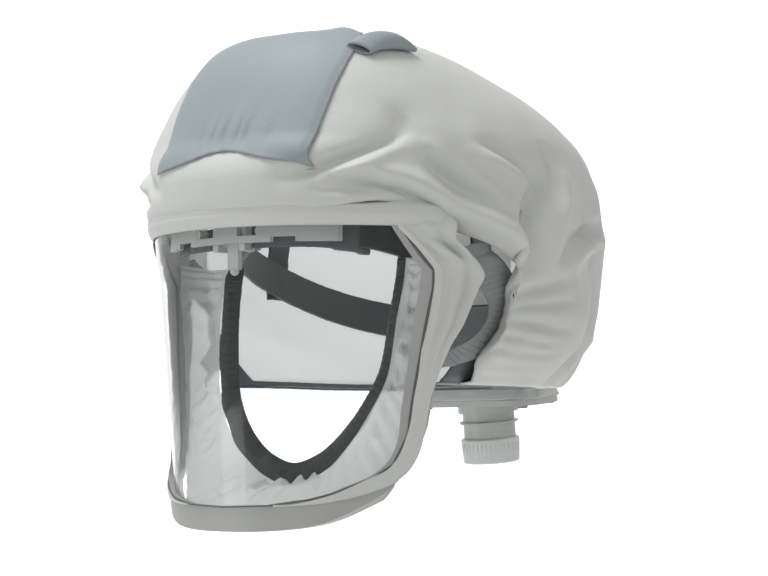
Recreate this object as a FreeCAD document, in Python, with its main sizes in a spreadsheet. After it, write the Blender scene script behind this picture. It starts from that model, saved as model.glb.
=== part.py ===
import FreeCAD, Part
import math
import os
import Sketcher

# Loose fitting hood of a powered air respirator, millimetres.
# The origin is the centre of the wearer's head inside the headband.
# +X is the wearer's left, -Y is the way the face looks, +Z is up.

os.makedirs("parts", exist_ok=True)
V = FreeCAD.Vector
doc = FreeCAD.newDocument("AirHood")
sheet = doc.addObject("Spreadsheet::Sheet", "Sizes")

sizes = {
    # visor sheet: a cone that narrows towards the chin
    "visorTopLevel": 31,
    "visorTopRadius": 107.5,
    "visorTopCentre": 41.5,
    "visorLowLevel": 138,
    "visorLowRadius": 91.5,
    "visorLowCentre": 44,
    "visorSheet": 1,
    "frameOut": 3,
    "frameIn": 3,
    # soft goods
    "fabric": 2.5,
    "hemWidth": 9,
    "browLow": 25,
    "browHigh": 60,
    "sealSheet": 1.2,
    "elasticSheet": 2,
    "panelHalf": 53,
    "panelLow": 71,
    # air inlet, measured along its own axis
    "inletBack": 118,
    "inletDrop": 66,
    "inletTilt": 7,
    "plateLong": 98,
    "plateDeep": 44,
    "plateThick": 4,
    "plateCorner": 18,
    "plateHalfLong": 49,
    "plateHalfDeep": 22,
    "clampThick": 2.5,
    "tubeRadius": 17,
    "boreRadius": 14,
    "tubeTop": 11,
    "tubeEnd": 41,
    "collarRadius": 19.8,
    "collarEnd": 9,
    "ridgeRadius": 19.3,
    "ridgeStart": 14.5,
    "ridgeEnd": 16.7,
    "grooveRadius": 15.7,
    "grooveStart": 33,
    "grooveEnd": 35,
    "ringSection": 0.95,
    "runningFit": 0.05,
    "sleeveStart": 26,
    "sleeveEnd": 42,
    "sleeveRadius": 19.2,
    "sleeveLowRadius": 18.4,
    "sleeveRib": 0.5,
    "sleeveRibs": 40,
    "ribLong": 11,
    "baffleWide": 62,
    "baffleThick": 2,
    "nutRadius": 22,
    "nutLow": 5,
    "nutHigh": 9,
    "screwHead": 3.2,
    "screwShank": 1.5,
    "screwSpanLong": 38,
    "screwSpanDeep": 15,
    # head harness
    "bandWide": 76,
    "bandFront": 96,
    "bandBack": 90,
    "bandThick": 2.5,
    "bandTall": 20,
    "bandTilt": 16,
    "bandLift": 6,
    "padThick": 5,
    "padTall": 27,
    "strapWide": 20,
    "strapThick": 1.6,
    "strapRise": 106,
    # nape cradle and ratchet, in the cradle's own frame
    "cradleBack": 93.5,
    "cradleDrop": 24,
    "cradleHalf": 44,
    "cradleThick": 3,
    "rackThick": 2,
    "rackTall": 6,
    "rackLong": 66,
    "rackLine": 6.2,
    "toothDepth": 1,
    "pinionRadius": 5.9,
    "pinionTeeth": 12,
    "coverHalf": 27,
    "knobRadius": 18,
    "knobDepth": 13,
    "knobGrips": 14,
    "knobStart": 3.2,
    "gripRadius": 3,
    "stemLong": 4,
    "cradleRise": 17,
    "cradleCorner": 8,
    "napePadThick": 6,
    "napePadHalf": 26.5,
    "rackInner": 12,
    "rackTeeth": 17,
    "toothGap": 1.5,
    "toothRun": 48,
    "coverRise": 15,
    "coverCorner": 6,
    "coverDeep": 5,
    "tailRoom": 12.6,
    "channelCut": 2.6,
    "shaftRadius": 3,
    "slideGap": 0.3,
    "rackTravel": 12,
    # visor carrier behind the brow
    "carrierRadius": 95,
    "carrierThick": 3,
    "carrierHalf": 64,
    "carrierLow": 17,
    "carrierHigh": 31,
    "stripRadius": 89.5,
    "stripThick": 2.5,
    "stripLow": 14,
    "stripHigh": 27,
    "leverLong": 16,
    "leverBall": 2.6,
    "leverPin": 1.5,
}
for row, (alias, value) in enumerate(sizes.items(), start=1):
    sheet.set("A%d" % row, alias)
    sheet.set("B%d" % row, str(value))
    sheet.setAlias("B%d" % row, alias)
doc.recompute()


def size(alias):
    return float(sheet.get(alias))


def terms(text):
    spaced = text.replace("-", " -").replace("+", " +")
    found = []
    for word in spaced.split():
        sign = -1 if word.startswith("-") else 1
        found.append((sign, word.lstrip("+-")))
    return found


def number(text):
    total = 0.0
    for sign, word in terms(text):
        total += sign * (float(word) if word[0].isdigit() else size(word))
    return total


def bound(text):
    pieces = []
    for sign, word in terms(text):
        mark = "-" if sign < 0 else "+"
        pieces.append(mark + (word if word[0].isdigit() else "Sizes." + word))
    return "".join(pieces).lstrip("+")


nodes = {}


def keep(item, label, placement=None):
    item.Label = label
    if placement is not None:
        item.Placement = placement
    nodes[label] = item
    return item


# sketches

def originPlane(body, role):
    for feature in body.Origin.OriginFeatures:
        if feature.Role == role:
            return feature
    raise ValueError(role)


def newSketch(body, role, name):
    sketch = body.newObject("Sketcher::SketchObject", name)
    sketch.AttachmentSupport = [(originPlane(body, role), "")]
    sketch.MapMode = "FlatFace"
    return sketch


def pin(sketch, geo, point, xText, yText):
    for kind, axis, text in (("DistanceX", -2, xText), ("DistanceY", -1, yText)):
        value = number(text)
        if abs(value) < 1e-9:
            sketch.addConstraint(Sketcher.Constraint("PointOnObject", geo, point, axis))
        else:
            rule = Sketcher.Constraint(kind, -1, 1, geo, point, value)
            index = sketch.addConstraint(rule)
            sketch.setExpression("Constraints[%d]" % index, bound(text))


def polygon(sketch, corners):
    start = sketch.GeometryCount
    spots = [V(number(a), number(b), 0) for a, b in corners]
    count = len(spots)
    for i in range(count):
        sketch.addGeometry(Part.LineSegment(spots[i], spots[(i + 1) % count]), False)
    for i in range(count):
        following = start + (i + 1) % count
        sketch.addConstraint(Sketcher.Constraint("Coincident", start + i, 2, following, 1))
    for i, (a, b) in enumerate(corners):
        pin(sketch, start + i, 1, a, b)


def circle(sketch, xText, yText, radiusText):
    radius = number(radiusText)
    centre = V(number(xText), number(yText), 0)
    geo = sketch.addGeometry(Part.Circle(centre, V(0, 0, 1), radius), False)
    pin(sketch, geo, 3, xText, yText)
    index = sketch.addConstraint(Sketcher.Constraint("Radius", geo, radius))
    sketch.setExpression("Constraints[%d]" % index, bound(radiusText))
    return geo


def newBody(label):
    body = doc.addObject("PartDesign::Body", label.replace("_", " ").title().replace(" ", ""))
    return body


def pad(body, sketch, lengthText, name, reverse=False, middle=False):
    feature = body.newObject("PartDesign::Pad", name)
    feature.Profile = sketch
    feature.Length = number(lengthText)
    feature.setExpression("Length", bound(lengthText))
    feature.Reversed = reverse
    feature.SideType = "Symmetric" if middle else "One side"
    sketch.Visibility = False
    body.Tip = feature
    doc.recompute()
    return feature


def pocketThrough(body, sketch, name, cuts=True):
    before = body.Shape.Volume
    feature = body.newObject("PartDesign::Pocket", name)
    feature.Profile = sketch
    feature.Type = "ThroughAll"
    feature.SideType = "Symmetric"
    body.Tip = feature
    doc.recompute()
    if cuts and not body.Shape.Volume < before - 1e-3:
        raise ValueError("pocket cuts nothing: " + name)
    return feature


def revolve(body, sketch, axis, name):
    feature = body.newObject("PartDesign::Revolution", name)
    feature.Profile = sketch
    feature.ReferenceAxis = (sketch, [axis])
    feature.Angle = 360
    body.Tip = feature
    doc.recompute()
    return feature


def polar(body, original, axis, countText, name):
    before = body.Shape.Volume
    feature = body.newObject("PartDesign::PolarPattern", name)
    feature.Originals = [original]
    for item in body.Origin.OriginFeatures:
        if item.Role == axis:
            feature.Axis = (item, [""])
    feature.Angle = 360
    feature.Occurrences = int(number(countText))
    feature.setExpression("Occurrences", bound(countText))
    body.Tip = feature
    doc.recompute()
    if abs(body.Shape.Volume - before) < 1e-6:
        raise ValueError("pattern adds nothing: " + name)
    return feature


def roundEdges(body, radiusText, pick, name):
    chosen = []
    for i, edge in enumerate(body.Shape.Edges, start=1):
        if pick(edge):
            chosen.append("Edge%d" % i)
    base = body.Tip
    feature = body.newObject("PartDesign::Fillet", name)
    feature.Base = (base, chosen)
    feature.Radius = number(radiusText)
    feature.setExpression("Radius", bound(radiusText))
    body.Tip = feature
    doc.recompute()
    return feature


def upright(edge):
    line = edge.Vertexes[0].Point - edge.Vertexes[-1].Point
    return line.Length > 0.5 and abs(line.x) < 1e-6 and abs(line.y) < 1e-6


def feature(label, shape, placement=None):
    name = label.replace("_", " ").title().replace(" ", "")
    item = doc.addObject("Part::Feature", name)
    item.Shape = shape
    return keep(item, label, placement)


# hood shape

# level, half width, front, back, squareness of each hood section
hoodSections = [
    (-62, 95, -116, 143, 3.0),
    (-57, 104, -126, 147, 2.8),
    (-46, 112, -134, 149, 2.6),
    (-28, 118, -140, 150, 2.4),
    (0, 122.5, -146, 152, 2.4),
    (30, 124.5, -148, 151, 2.4),
    (60, 124, -147, 145, 2.4),
    (77.5, 120, -141, 134, 2.4),
    (93.5, 111, -135, 117, 2.4),
    (110.5, 98, -127, 85, 2.4),
    (125.5, 82, -117, 45, 2.4),
    (136, 66, -106, 14, 2.4),
    (142, 48, -94, -8, 2.4),
]
sectionPoints = 28


def sectionWire(level, half, front, back, square, inward):
    centre = (front + back) / 2
    deep = (back - front) / 2 - inward
    wide = half - inward
    spots = []
    for i in range(sectionPoints):
        turn = 2 * math.pi * (i + 0.5) / sectionPoints
        c = math.cos(turn)
        q = math.sin(turn)
        x = wide * math.copysign(abs(c) ** (2 / square), c)
        y = centre + deep * math.copysign(abs(q) ** (2 / square), q)
        spots.append(V(x, y, level))
    curve = Part.BSplineCurve()
    curve.interpolate(spots, PeriodicFlag=True)
    return Part.Wire([curve.toShape()])


def hoodSolid(inward, sink):
    rows = []
    low = hoodSections[0][0]
    high = hoodSections[-1][0]
    for level, half, front, back, square in hoodSections:
        shift = sink * (1 - 2 * (level - low) / (high - low))
        rows.append([level + shift, half, front, back, square])
    wires = [sectionWire(*row, inward) for row in rows]
    return Part.makeLoft(wires, True, False)


def sidePrism(corners, reach=200):
    # region in front of the hood's edge: the edge between its straight ends is one curve
    spots = [V(-reach, y, z) for y, z in corners]
    curve = Part.BSplineCurve()
    curve.interpolate(spots[1:-1])
    edges = [Part.LineSegment(spots[0], spots[1]).toShape(), curve.toShape(),
             Part.LineSegment(spots[-2], spots[-1]).toShape(),
             Part.LineSegment(spots[-1], spots[0]).toShape()]
    return Part.Face(Part.Wire(edges)).extrude(V(2 * reach, 0, 0))


def frontPrism(corners, near=-190, far=-46):
    spots = [V(x, near, z) for x, z in corners]
    wire = Part.makePolygon(spots + [spots[0]])
    return Part.Face(wire).extrude(V(0, far - near, 0))


def chinPrism(half, curved, near=-190, far=-46):
    # front outline whose lower part, the first points out from the middle, is one smooth curve
    right = [V(x, near, z) for x, z in half]
    left = [V(-p.x, near, p.z) for p in right]
    low = [p for p in reversed(left[1:curved])] + right[:curved]
    curve = Part.BSplineCurve()
    curve.interpolate(low)
    edges = [curve.toShape()]
    rest = right[curved - 1:-1] + list(reversed(left[curved - 1:-1]))
    for i in range(len(rest) - 1):
        edges.append(Part.LineSegment(rest[i], rest[i + 1]).toShape())
    return Part.Face(Part.Wire(edges)).extrude(V(0, far - near, 0))


def topPrism(corners, low, high):
    spots = [V(x, y, low) for x, y in corners]
    wire = Part.makePolygon(spots + [spots[0]])
    return Part.Face(wire).extrude(V(0, 0, high - low))


def mirrored(shape):
    return shape.mirror(V(0, 0, 0), V(1, 0, 0))


# the open edge of the hood beside the face and round the ear, from the brow down
hoodEdge = [(-200, 60), (-97, 60), (-84, 47), (-62, 30), (-50, 14), (-40, -4), (-30, -16),
            (-29, -27), (-36, -40), (-44, -80), (-200, -80)]
hemEdge = [(-200, 60), (-97, 60), (-84, 47), (-62, 30), (-41, 16), (-30, 1), (-20, -14),
           (-18, -29), (-26, -44), (-33, -80), (-200, -80)]

fabric = size("fabric")
outerHood = hoodSolid(0, 0)
innerHood = hoodSolid(fabric, fabric)
hoodShell = outerHood.cut(innerHood)

# neck opening through the hood floor
neckHalf = 74
neckSpots = [(-neckHalf, -190), (-neckHalf, 60), (-neckHalf + 18, 86), (neckHalf - 18, 86),
             (neckHalf, 60), (neckHalf, -190)]
neckCut = topPrism(neckSpots, -90, -50)
# window for the nape panel and the inlet plate
windowHalf = size("plateLong") / 2 + 2
inletRear = size("inletBack") + size("plateDeep") / 2 - 1
windowCut = topPrism([(-windowHalf, 60), (-windowHalf, inletRear), (windowHalf, inletRear),
                      (windowHalf, 60)], -90, -56)

openShell = hoodShell.cut(sidePrism(hoodEdge)).cut(neckCut).cut(windowCut)
aboveFloor = Part.makeBox(400, 400, 300, V(-200, -200, hoodSections[0][0] + fabric + 1.5))
hemRegion = sidePrism(hemEdge).common(aboveFloor)
bodyShell = openShell.cut(hemRegion)
hemShell = openShell.common(hemRegion)

# crown panel: the darker cloth over the forehead and crown
panelHalf = size("panelHalf")
panelLow = size("panelLow")
panelPrism = topPrism([(-panelHalf, -170), (-panelHalf, -8), (panelHalf, -8),
                       (panelHalf, -170)], panelLow, 170)
crownPanel = bodyShell.common(panelPrism)
greyShell = bodyShell.cut(panelPrism)

halfSpace = Part.makeBox(400, 600, 600, V(0, -300, -300))
otherHalf = Part.makeBox(400, 600, 600, V(-400, -300, -300))
feature("hood_side_left", greyShell.common(halfSpace))
feature("hood_side_right", greyShell.common(otherHalf))
feature("crown_panel", crownPanel)
for label, half in (("ear_hem_left", halfSpace), ("ear_hem_right", otherHalf)):
    pieces = hemShell.common(half).Solids
    feature(label, max(pieces, key=lambda one: one.Volume))

# visor and frame

def coneRing(outward, inward):
    rows = []
    for grow in (outward, -inward):
        wires = []
        for level, radius, centre in ((-visorLow - 12, lowRadius - 1.2, lowCentre + 0.2),
                                      (visorTop + 10, topRadius + 1, topCentre)):
            wires.append(Part.Wire([Part.makeCircle(radius + grow, V(0, -centre, level))]))
        rows.append(Part.makeLoft(wires, True, True))
    return rows[0].cut(rows[1])


visorTop = size("visorTopLevel")
visorLow = size("visorLowLevel")
topRadius = size("visorTopRadius")
lowRadius = size("visorLowRadius")
topCentre = size("visorTopCentre")
lowCentre = size("visorLowCentre")

clearHalf = [(0, -132), (28, -131), (49, -127.5), (60, -124), (68.5, -119.5), (76, -115),
             (82, -108), (87, -92), (89, -75), (95, -30), (99, 1), (91.5, 25), (0, 25)]
frameHalf = [(0, -146), (42, -144), (58.5, -140), (73, -131), (85.5, -118), (90, -106),
             (94, -90), (96, -75), (101.5, -30), (105, 2), (104, 25), (0, 25)]
sheetHalf = [(0, -137), (42, -135), (58.5, -131), (71, -124), (81, -115), (87, -104),
             (91, -90), (92.5, -75), (98, -30), (102.5, 2), (98, visorTop), (0, visorTop)]
clearPrism = chinPrism(clearHalf, 9)
framePrism = chinPrism(frameHalf, 8)
sheetPrism = chinPrism(sheetHalf, 8)

# the frame and the sheet in it end along this line at each temple, (y, z)
rimRear = [(-58, 60), (-60, 0), (-61.5, -30), (-64.5, -45), (-68, -58), (-71, -70), (-73, -86), (-77, -100),
           (-82, -110), (-90, -119), (-90, -170)]


def behindRim(shift):
    spots = [V(-200, y + shift, z) for y, z in rimRear] + [V(-200, 60, -170), V(-200, 60, 60)]
    return Part.Face(Part.makePolygon(spots + [spots[0]])).extrude(V(400, 0, 0))


visor = coneRing(0, size("visorSheet")).common(sheetPrism).cut(behindRim(-2.5))
feature("visor", visor)

rim = coneRing(size("frameOut"), size("frameIn")).common(framePrism).cut(clearPrism)
rim = rim.cut(visor).cut(openShell).cut(behindRim(0))
railTop = -86
chinPart = Part.makeBox(400, 400, 200, V(-200, -300, railTop - 200))
chinRail = rim.common(chinPart)
sideRim = rim.cut(chinPart)
feature("chin_rail", chinRail)
feature("visor_frame_left", sideRim.common(halfSpace))
feature("visor_frame_right", sideRim.common(otherHalf))

# rolled brow over the top edge of the visor
browLow = size("browLow")
browHigh = size("browHigh")
browHalfWide = 106
browPrism = frontPrism([(-browHalfWide, browLow), (browHalfWide, browLow),
                        (browHalfWide, browHigh - 8), (browHalfWide - 14, browHigh),
                        (-browHalfWide + 14, browHigh), (-browHalfWide, browHigh - 8)])
brow = []
for level, grow, centre in ((browLow, 3.2, topCentre), (browLow + 4, 4.4, topCentre),
                            (browLow + 16, 6.5, topCentre), (browHigh - 8, 6, topCentre - 1),
                            (browHigh, 3, topCentre - 2)):
    brow.append(Part.Wire([Part.makeCircle(topRadius + grow, V(0, -centre, level))]))
browOuter = Part.makeLoft(brow, True, False)
browInner = Part.makeCylinder(topRadius + 1.4, 60, V(0, -topCentre, browLow - 10))
browRoll = browOuter.cut(browInner).common(browPrism)
browRoll = browRoll.cut(greyShell).cut(crownPanel)
solids = sorted(browRoll.Solids, key=lambda one: one.Volume)
browRoll = solids[-1]
feature("brow_roll", browRoll)

# cheek flaps: cloth from the visor frame back to the ear opening
cheekRows = [
    # level, frame x, frame y, rear x, rear y
    (24, 108.5, -72, 115, -50),
    (4, 108, -71, 113, -44),
    (-14, 106, -72, 110, -46),
    (-34, 103, -73, 105.5, -55),
    (-52, 100.5, -74, 101.8, -64),
    (-70, 98.6, -74, 99, -69),
]


def stripWire(level, x0, y0, x1, y1, thick):
    along = V(x1 - x0, y1 - y0, 0).normalize()
    across = V(along.y, -along.x, 0) * (thick / 2)
    spots = [V(x0, y0, level) + across, V(x1, y1, level) + across,
             V(x1, y1, level) - across, V(x0, y0, level) - across]
    return Part.makePolygon(spots + [spots[0]])


cheek = Part.makeLoft([stripWire(*row, fabric) for row in cheekRows], True, True)
cheek = cheek.cut(rim).cut(browRoll).cut(hoodShell).cut(visor)
cheek = sorted(cheek.Solids, key=lambda one: one.Volume)[-1]
feature("cheek_flap_left", cheek)
feature("cheek_flap_right", mirrored(cheek))

# loose fold of crown cloth at the upper left corner of the crown panel
flapSpots = [(46, -92), (58, -88), (64, -66), (60, -46), (50, -58)]
flapLow = 151
flapPrism = topPrism(flapSpots, 120, 190)
flapShell = hoodSolid(-3.2, -3.2).cut(hoodSolid(-0.2, -0.2))
flap = flapShell.common(flapPrism)
feature("crown_fold", sorted(flap.Solids, key=lambda one: one.Volume)[-1])

# face seal

sealOuterHalf = [(98, -72, 14), (98.5, -71, 0), (94.5, -72, -30), (88, -76, -75), (81, -84, -104),
                 (66, -99, -122), (40, -122, -131), (0, -131.5, -135)]
loopHalf = [(69, -60, 11), (69.5, -62, 0), (68, -68, -28), (65, -71, -55), (55, -77, -80),
            (39, -80, -101), (22, -80, -114), (0, -80, -120)]
innerHalf = [(60, -56, 11), (60, -58, 0), (58, -63, -28), (55, -66, -52), (46, -71.5, -74),
             (31, -75, -93), (17, -75.5, -103), (0, -76, -108)]


def throughCurve(half):
    spots = [V(*p) for p in half]
    spots += [V(-p[0], p[1], p[2]) for p in reversed(half) if p[0] > 0]
    curve = Part.BSplineCurve()
    curve.interpolate(spots)
    return curve.toShape()


def ruledSheet(first, second, thick):
    face = Part.makeRuledSurface(throughCurve(first), throughCurve(second))
    return face.extrude(V(0, thick, 0))


seal = ruledSheet(sealOuterHalf, loopHalf, size("sealSheet"))
seal = seal.cut(rim).cut(visor)
seal = sorted(seal.Solids, key=lambda one: one.Volume)[-1]
sealSplit = -62
lowSeal = Part.makeBox(400, 400, 300, V(-200, -300, sealSplit - 300))
upSeal = seal.cut(lowSeal)
feature("face_seal_chin", seal.common(lowSeal))
feature("face_seal_left", upSeal.common(halfSpace))
feature("face_seal_right", upSeal.common(otherHalf))
elastic = ruledSheet(loopHalf, innerHalf, size("elasticSheet"))
elastic = elastic.cut(seal)
feature("face_elastic", sorted(elastic.Solids, key=lambda one: one.Volume)[-1])

# air inlet at the nape

tilt = FreeCAD.Rotation(V(1, 0, 0), size("inletTilt"))
inletPlace = FreeCAD.Placement(V(0, size("inletBack"), -size("inletDrop")), tilt)

plate = newBody("inlet_plate")
outline = newSketch(plate, "XY_Plane", "PlateOutline")
polygon(outline, [("-plateHalfLong", "-plateHalfDeep"), ("plateHalfLong", "-plateHalfDeep"),
                  ("plateHalfLong", "plateHalfDeep"), ("-plateHalfLong", "plateHalfDeep")])
pad(plate, outline, "plateThick", "PlatePad", reverse=True)
roundEdges(plate, "plateCorner", upright, "PlateCorners")
hole = newSketch(plate, "XY_Plane", "TubeHole")
circle(hole, "0", "0", "tubeRadius+runningFit")
pocketThrough(plate, hole, "TubePocket")
screwHoles = newSketch(plate, "XY_Plane", "ScrewHoles")
for sx in ("", "-"):
    for sy in ("", "-"):
        circle(screwHoles, sx + "screwSpanLong", sy + "screwSpanDeep", "screwShank+0.1")
pocketThrough(plate, screwHoles, "ScrewPocket")
keep(plate, "inlet_plate", inletPlace)

clamp = newBody("clamp_plate")
outline = newSketch(clamp, "XY_Plane", "ClampOutline")
polygon(outline, [("-plateHalfLong+4", "-plateHalfDeep+3"), ("plateHalfLong-4", "-plateHalfDeep+3"),
                  ("plateHalfLong-4", "plateHalfDeep-3"), ("-plateHalfLong+4", "plateHalfDeep-3")])
clampPad = pad(clamp, outline, "clampThick", "ClampPad")
roundEdges(clamp, "plateCorner-4", upright, "ClampCorners")
hole = newSketch(clamp, "XY_Plane", "ClampHole")
circle(hole, "0", "0", "tubeRadius+runningFit")
pocketThrough(clamp, hole, "ClampPocket")
screwHoles = newSketch(clamp, "XY_Plane", "ScrewHoles")
for sx in ("", "-"):
    for sy in ("", "-"):
        circle(screwHoles, sx + "screwSpanLong", sy + "screwSpanDeep", "screwShank+0.1")
pocketThrough(clamp, screwHoles, "ScrewPocket")
clampPlace = inletPlace.multiply(FreeCAD.Placement(V(0, 0, fabric), FreeCAD.Rotation()))
keep(clamp, "clamp_plate", clampPlace)

spigot = newBody("spigot")
profile = newSketch(spigot, "XZ_Plane", "SpigotProfile")
polygon(profile, [
    ("boreRadius", "-tubeEnd"), ("tubeRadius-1", "-tubeEnd"), ("tubeRadius", "-tubeEnd+1"),
    ("tubeRadius", "-grooveEnd"), ("grooveRadius", "-grooveEnd"),
    ("grooveRadius", "-grooveStart"), ("tubeRadius", "-grooveStart"),
    ("tubeRadius", "-ridgeEnd"), ("ridgeRadius", "-ridgeEnd+0.6"),
    ("ridgeRadius", "-ridgeStart-0.6"), ("tubeRadius", "-ridgeStart"),
    ("tubeRadius", "-collarEnd"), ("collarRadius", "-collarEnd"),
    ("collarRadius", "-plateThick"), ("tubeRadius", "-plateThick"),
    ("tubeRadius", "tubeTop"), ("boreRadius", "tubeTop")])
revolve(spigot, profile, "V_Axis", "SpigotTurn")
keep(spigot, "spigot", inletPlace)

nut = newBody("retaining_nut")
profile = newSketch(nut, "XZ_Plane", "NutProfile")
polygon(profile, [("tubeRadius", "nutLow"), ("nutRadius", "nutLow"), ("nutRadius", "nutHigh-1"),
                  ("nutRadius-1", "nutHigh"), ("tubeRadius", "nutHigh")])
revolve(nut, profile, "V_Axis", "NutTurn")
keep(nut, "retaining_nut", inletPlace)

sealRing = doc.addObject("Part::Torus", "SpigotSealRing")
sealRing.setExpression("Radius1", "Sizes.grooveRadius+Sizes.ringSection/2+0.15")
sealRing.setExpression("Radius2", "Sizes.ringSection/2+0.15")
ringLevel = -(size("grooveStart") + size("grooveEnd")) / 2
ringPlace = inletPlace.multiply(FreeCAD.Placement(V(0, 0, ringLevel), FreeCAD.Rotation()))
keep(sealRing, "spigot_seal_ring", ringPlace)

sleeve = newBody("swivel_sleeve")
profile = newSketch(sleeve, "XZ_Plane", "SleeveProfile")
polygon(profile, [
    ("tubeRadius+runningFit", "-sleeveEnd+0.5"), ("tubeRadius+0.4", "-sleeveEnd"),
    ("sleeveLowRadius-0.5", "-sleeveEnd"), ("sleeveLowRadius", "-sleeveEnd+0.8"),
    ("sleeveRadius", "-sleeveStart-3"), ("sleeveRadius", "-sleeveStart-0.8"),
    ("sleeveRadius-0.8", "-sleeveStart"), ("tubeRadius+runningFit", "-sleeveStart")])
revolve(sleeve, profile, "V_Axis", "SleeveTurn")
rib = newSketch(sleeve, "YZ_Plane", "RibCut")
polygon(rib, [("sleeveRadius-0.5", "-sleeveStart-3-ribLong"),
              ("sleeveRadius+1", "-sleeveStart-3-ribLong"),
              ("sleeveRadius+1", "-sleeveStart-3"), ("sleeveRadius-0.5", "-sleeveStart-3")])
ribCut = sleeve.newObject("PartDesign::Pocket", "RibGroove")
ribCut.Profile = rib
ribCut.Length = number("sleeveRib+0.7")
ribCut.SideType = "Symmetric"
before = sleeve.Shape.Volume
sleeve.Tip = ribCut
doc.recompute()
if not sleeve.Shape.Volume < before - 0.1:
    raise ValueError("rib groove cuts nothing")
polar(sleeve, ribCut, "Z_Axis", "sleeveRibs", "SleeveRibs")
keep(sleeve, "swivel_sleeve", inletPlace)

# air baffle: a strip of cloth under the rear and crown; air runs between it and the hood
baffleHalf = size("baffleWide") / 2
baffleRun = [(128, -50), (130, -20), (130, 14), (123, 52), (98, 80), (58, 103), (18, 119),
             (-25, 129), (-60, 131)]
bafflePath = Part.BSplineCurve()
bafflePath.interpolate([V(0, y, z) for y, z in baffleRun])
innerSpots = []
for y, z in baffleRun:
    spot = V(0, y, z)
    heading = bafflePath.tangent(bafflePath.parameter(spot))[0]
    innerSpots.append(spot + V(0, -heading.z, heading.y) * size("baffleThick"))
innerPath = Part.BSplineCurve()
innerPath.interpolate(innerSpots)
baffleEdges = [bafflePath.toShape(),
               Part.LineSegment(bafflePath.EndPoint, innerPath.EndPoint).toShape(),
               innerPath.toShape(),
               Part.LineSegment(innerPath.StartPoint, bafflePath.StartPoint).toShape()]
baffle = Part.Face(Part.Wire(Part.sortEdges(baffleEdges)[0])).extrude(V(2 * baffleHalf, 0, 0))
baffle.translate(V(-baffleHalf, 0, 0))
feature("air_baffle", baffle)

# head harness: a band round the head that drops towards the nape
bandWide = size("bandWide")
bandTall = size("bandTall")
bandThick = size("bandThick")
bandFlat = 28


def bandLoop(outward):
    wide = bandWide + outward
    front = size("bandFront") + outward
    back = size("bandBack") + outward
    spots = []
    for degrees in range(-180, 181, 15):
        turn = math.radians(degrees)
        spots.append(V(wide * math.sin(turn), -front * math.cos(turn) if math.cos(turn) > 0 else
                       -back * math.copysign(abs(math.cos(turn)) ** 0.8, math.cos(turn)), 0))
    curve = Part.BSplineCurve()
    curve.interpolate(spots[:-1], PeriodicFlag=True)
    return Part.Wire([curve.toShape()])


def bandSolid(outward, thick):
    outer = Part.Face(bandLoop(outward + thick)).extrude(V(0, 0, 300))
    inner = Part.Face(bandLoop(outward)).extrude(V(0, 0, 300))
    ring = outer.cut(inner)
    ring.translate(V(0, 0, -150))
    return ring


def bandSlab(tall, lift):
    slab = Part.makeBox(400, 400, tall, V(-200, -200, -tall / 2))
    slab.Placement = FreeCAD.Placement(V(0, 0, size("bandLift") + lift),
                                       FreeCAD.Rotation(V(1, 0, 0), -size("bandTilt")))
    return slab


band = bandSolid(0, bandThick).common(bandSlab(bandTall, 0))
band = band.cut(Part.makeBox(2 * bandFlat, 60, 200, V(-bandFlat, 50, -100)))
pegRadius = 2.2
pegLevel = size("bandLift") - 1
pegStart = bandWide - 0.3
strapBase = bandWide + bandThick + 0.3
pegs = []
for side in (-1, 1):
    pegLong = strapBase + size("strapThick") + 1.2 - pegStart
    peg = Part.makeCylinder(pegRadius, pegLong, V(side * pegStart, 0, pegLevel), V(side, 0, 0))
    band = band.cut(peg)
    pegs.append(peg)
feature("headband", band)
padHalf = 50
sweat = bandSolid(-size("padThick") - 0.3, size("padThick")).common(bandSlab(size("padTall"), 0))
sweat = sweat.common(Part.makeBox(2 * padHalf, 120, 300, V(-padHalf, -160, -150)))
feature("brow_pad", sorted(sweat.Solids, key=lambda one: one.Volume)[-1])

# crown strap: one band over the head from ear to ear, on pegs in the headband
strapWide = size("strapWide")
strapThick = size("strapThick")
strapRise = size("strapRise")


def strapProfile(outward):
    half = strapBase + outward
    spots = [V(-half, 0, -10), V(-half + 1, 0, 30), V(-half * 0.8, 0, strapRise * 0.68),
             V(-half * 0.42, 0, strapRise * 0.95 + outward), V(0, 0, strapRise + outward)]
    spots += [V(-p.x, 0, p.z) for p in reversed(spots[:-1])]
    curve = Part.BSplineCurve()
    curve.interpolate(spots)
    closing = Part.LineSegment(spots[-1], spots[0]).toShape()
    return Part.Face(Part.Wire([curve.toShape(), closing]))


strap = strapProfile(strapThick).extrude(V(0, strapWide, 0))
strap = strap.cut(strapProfile(0).extrude(V(0, strapWide, 0)))
strap.translate(V(0, -strapWide / 2, 0))
strapFloor = Part.makeBox(400, 400, 100, V(-200, -200, -112))
strap = strap.cut(strapFloor)
for side, peg in zip((-1, 1), pegs):
    strap = strap.cut(peg)
feature("crown_strap", sorted(strap.Solids, key=lambda one: one.Volume)[-1])
pegHeads = []
for side, peg in zip((-1, 1), pegs):
    foot = V(side * (strapBase + size("strapThick") + 0.9), 0, pegLevel)
    pegHeads.append(peg.fuse(Part.makeCylinder(4.5, 1.8, foot, V(side, 0, 0))).removeSplitter())
feature("strap_pegs", Part.makeCompound(pegHeads))
crownPad = strapProfile(-0.3).extrude(V(0, strapWide + 12, 0))
crownPad = crownPad.cut(strapProfile(-4.3).extrude(V(0, strapWide + 12, 0)))
crownPad.translate(V(0, -(strapWide + 12) / 2, 0))
crownPad = crownPad.common(Part.makeBox(80, 60, 60, V(-40, -30, 70)))
feature("crown_pad", sorted(crownPad.Solids, key=lambda one: one.Volume)[-1])


# nape cradle with the ratchet that shortens the band; local +Y is the way the knob faces
napePlace = FreeCAD.Placement(V(0, size("cradleBack"), -size("cradleDrop")),
                              FreeCAD.Rotation(V(1, 0, 0), -8))


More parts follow.
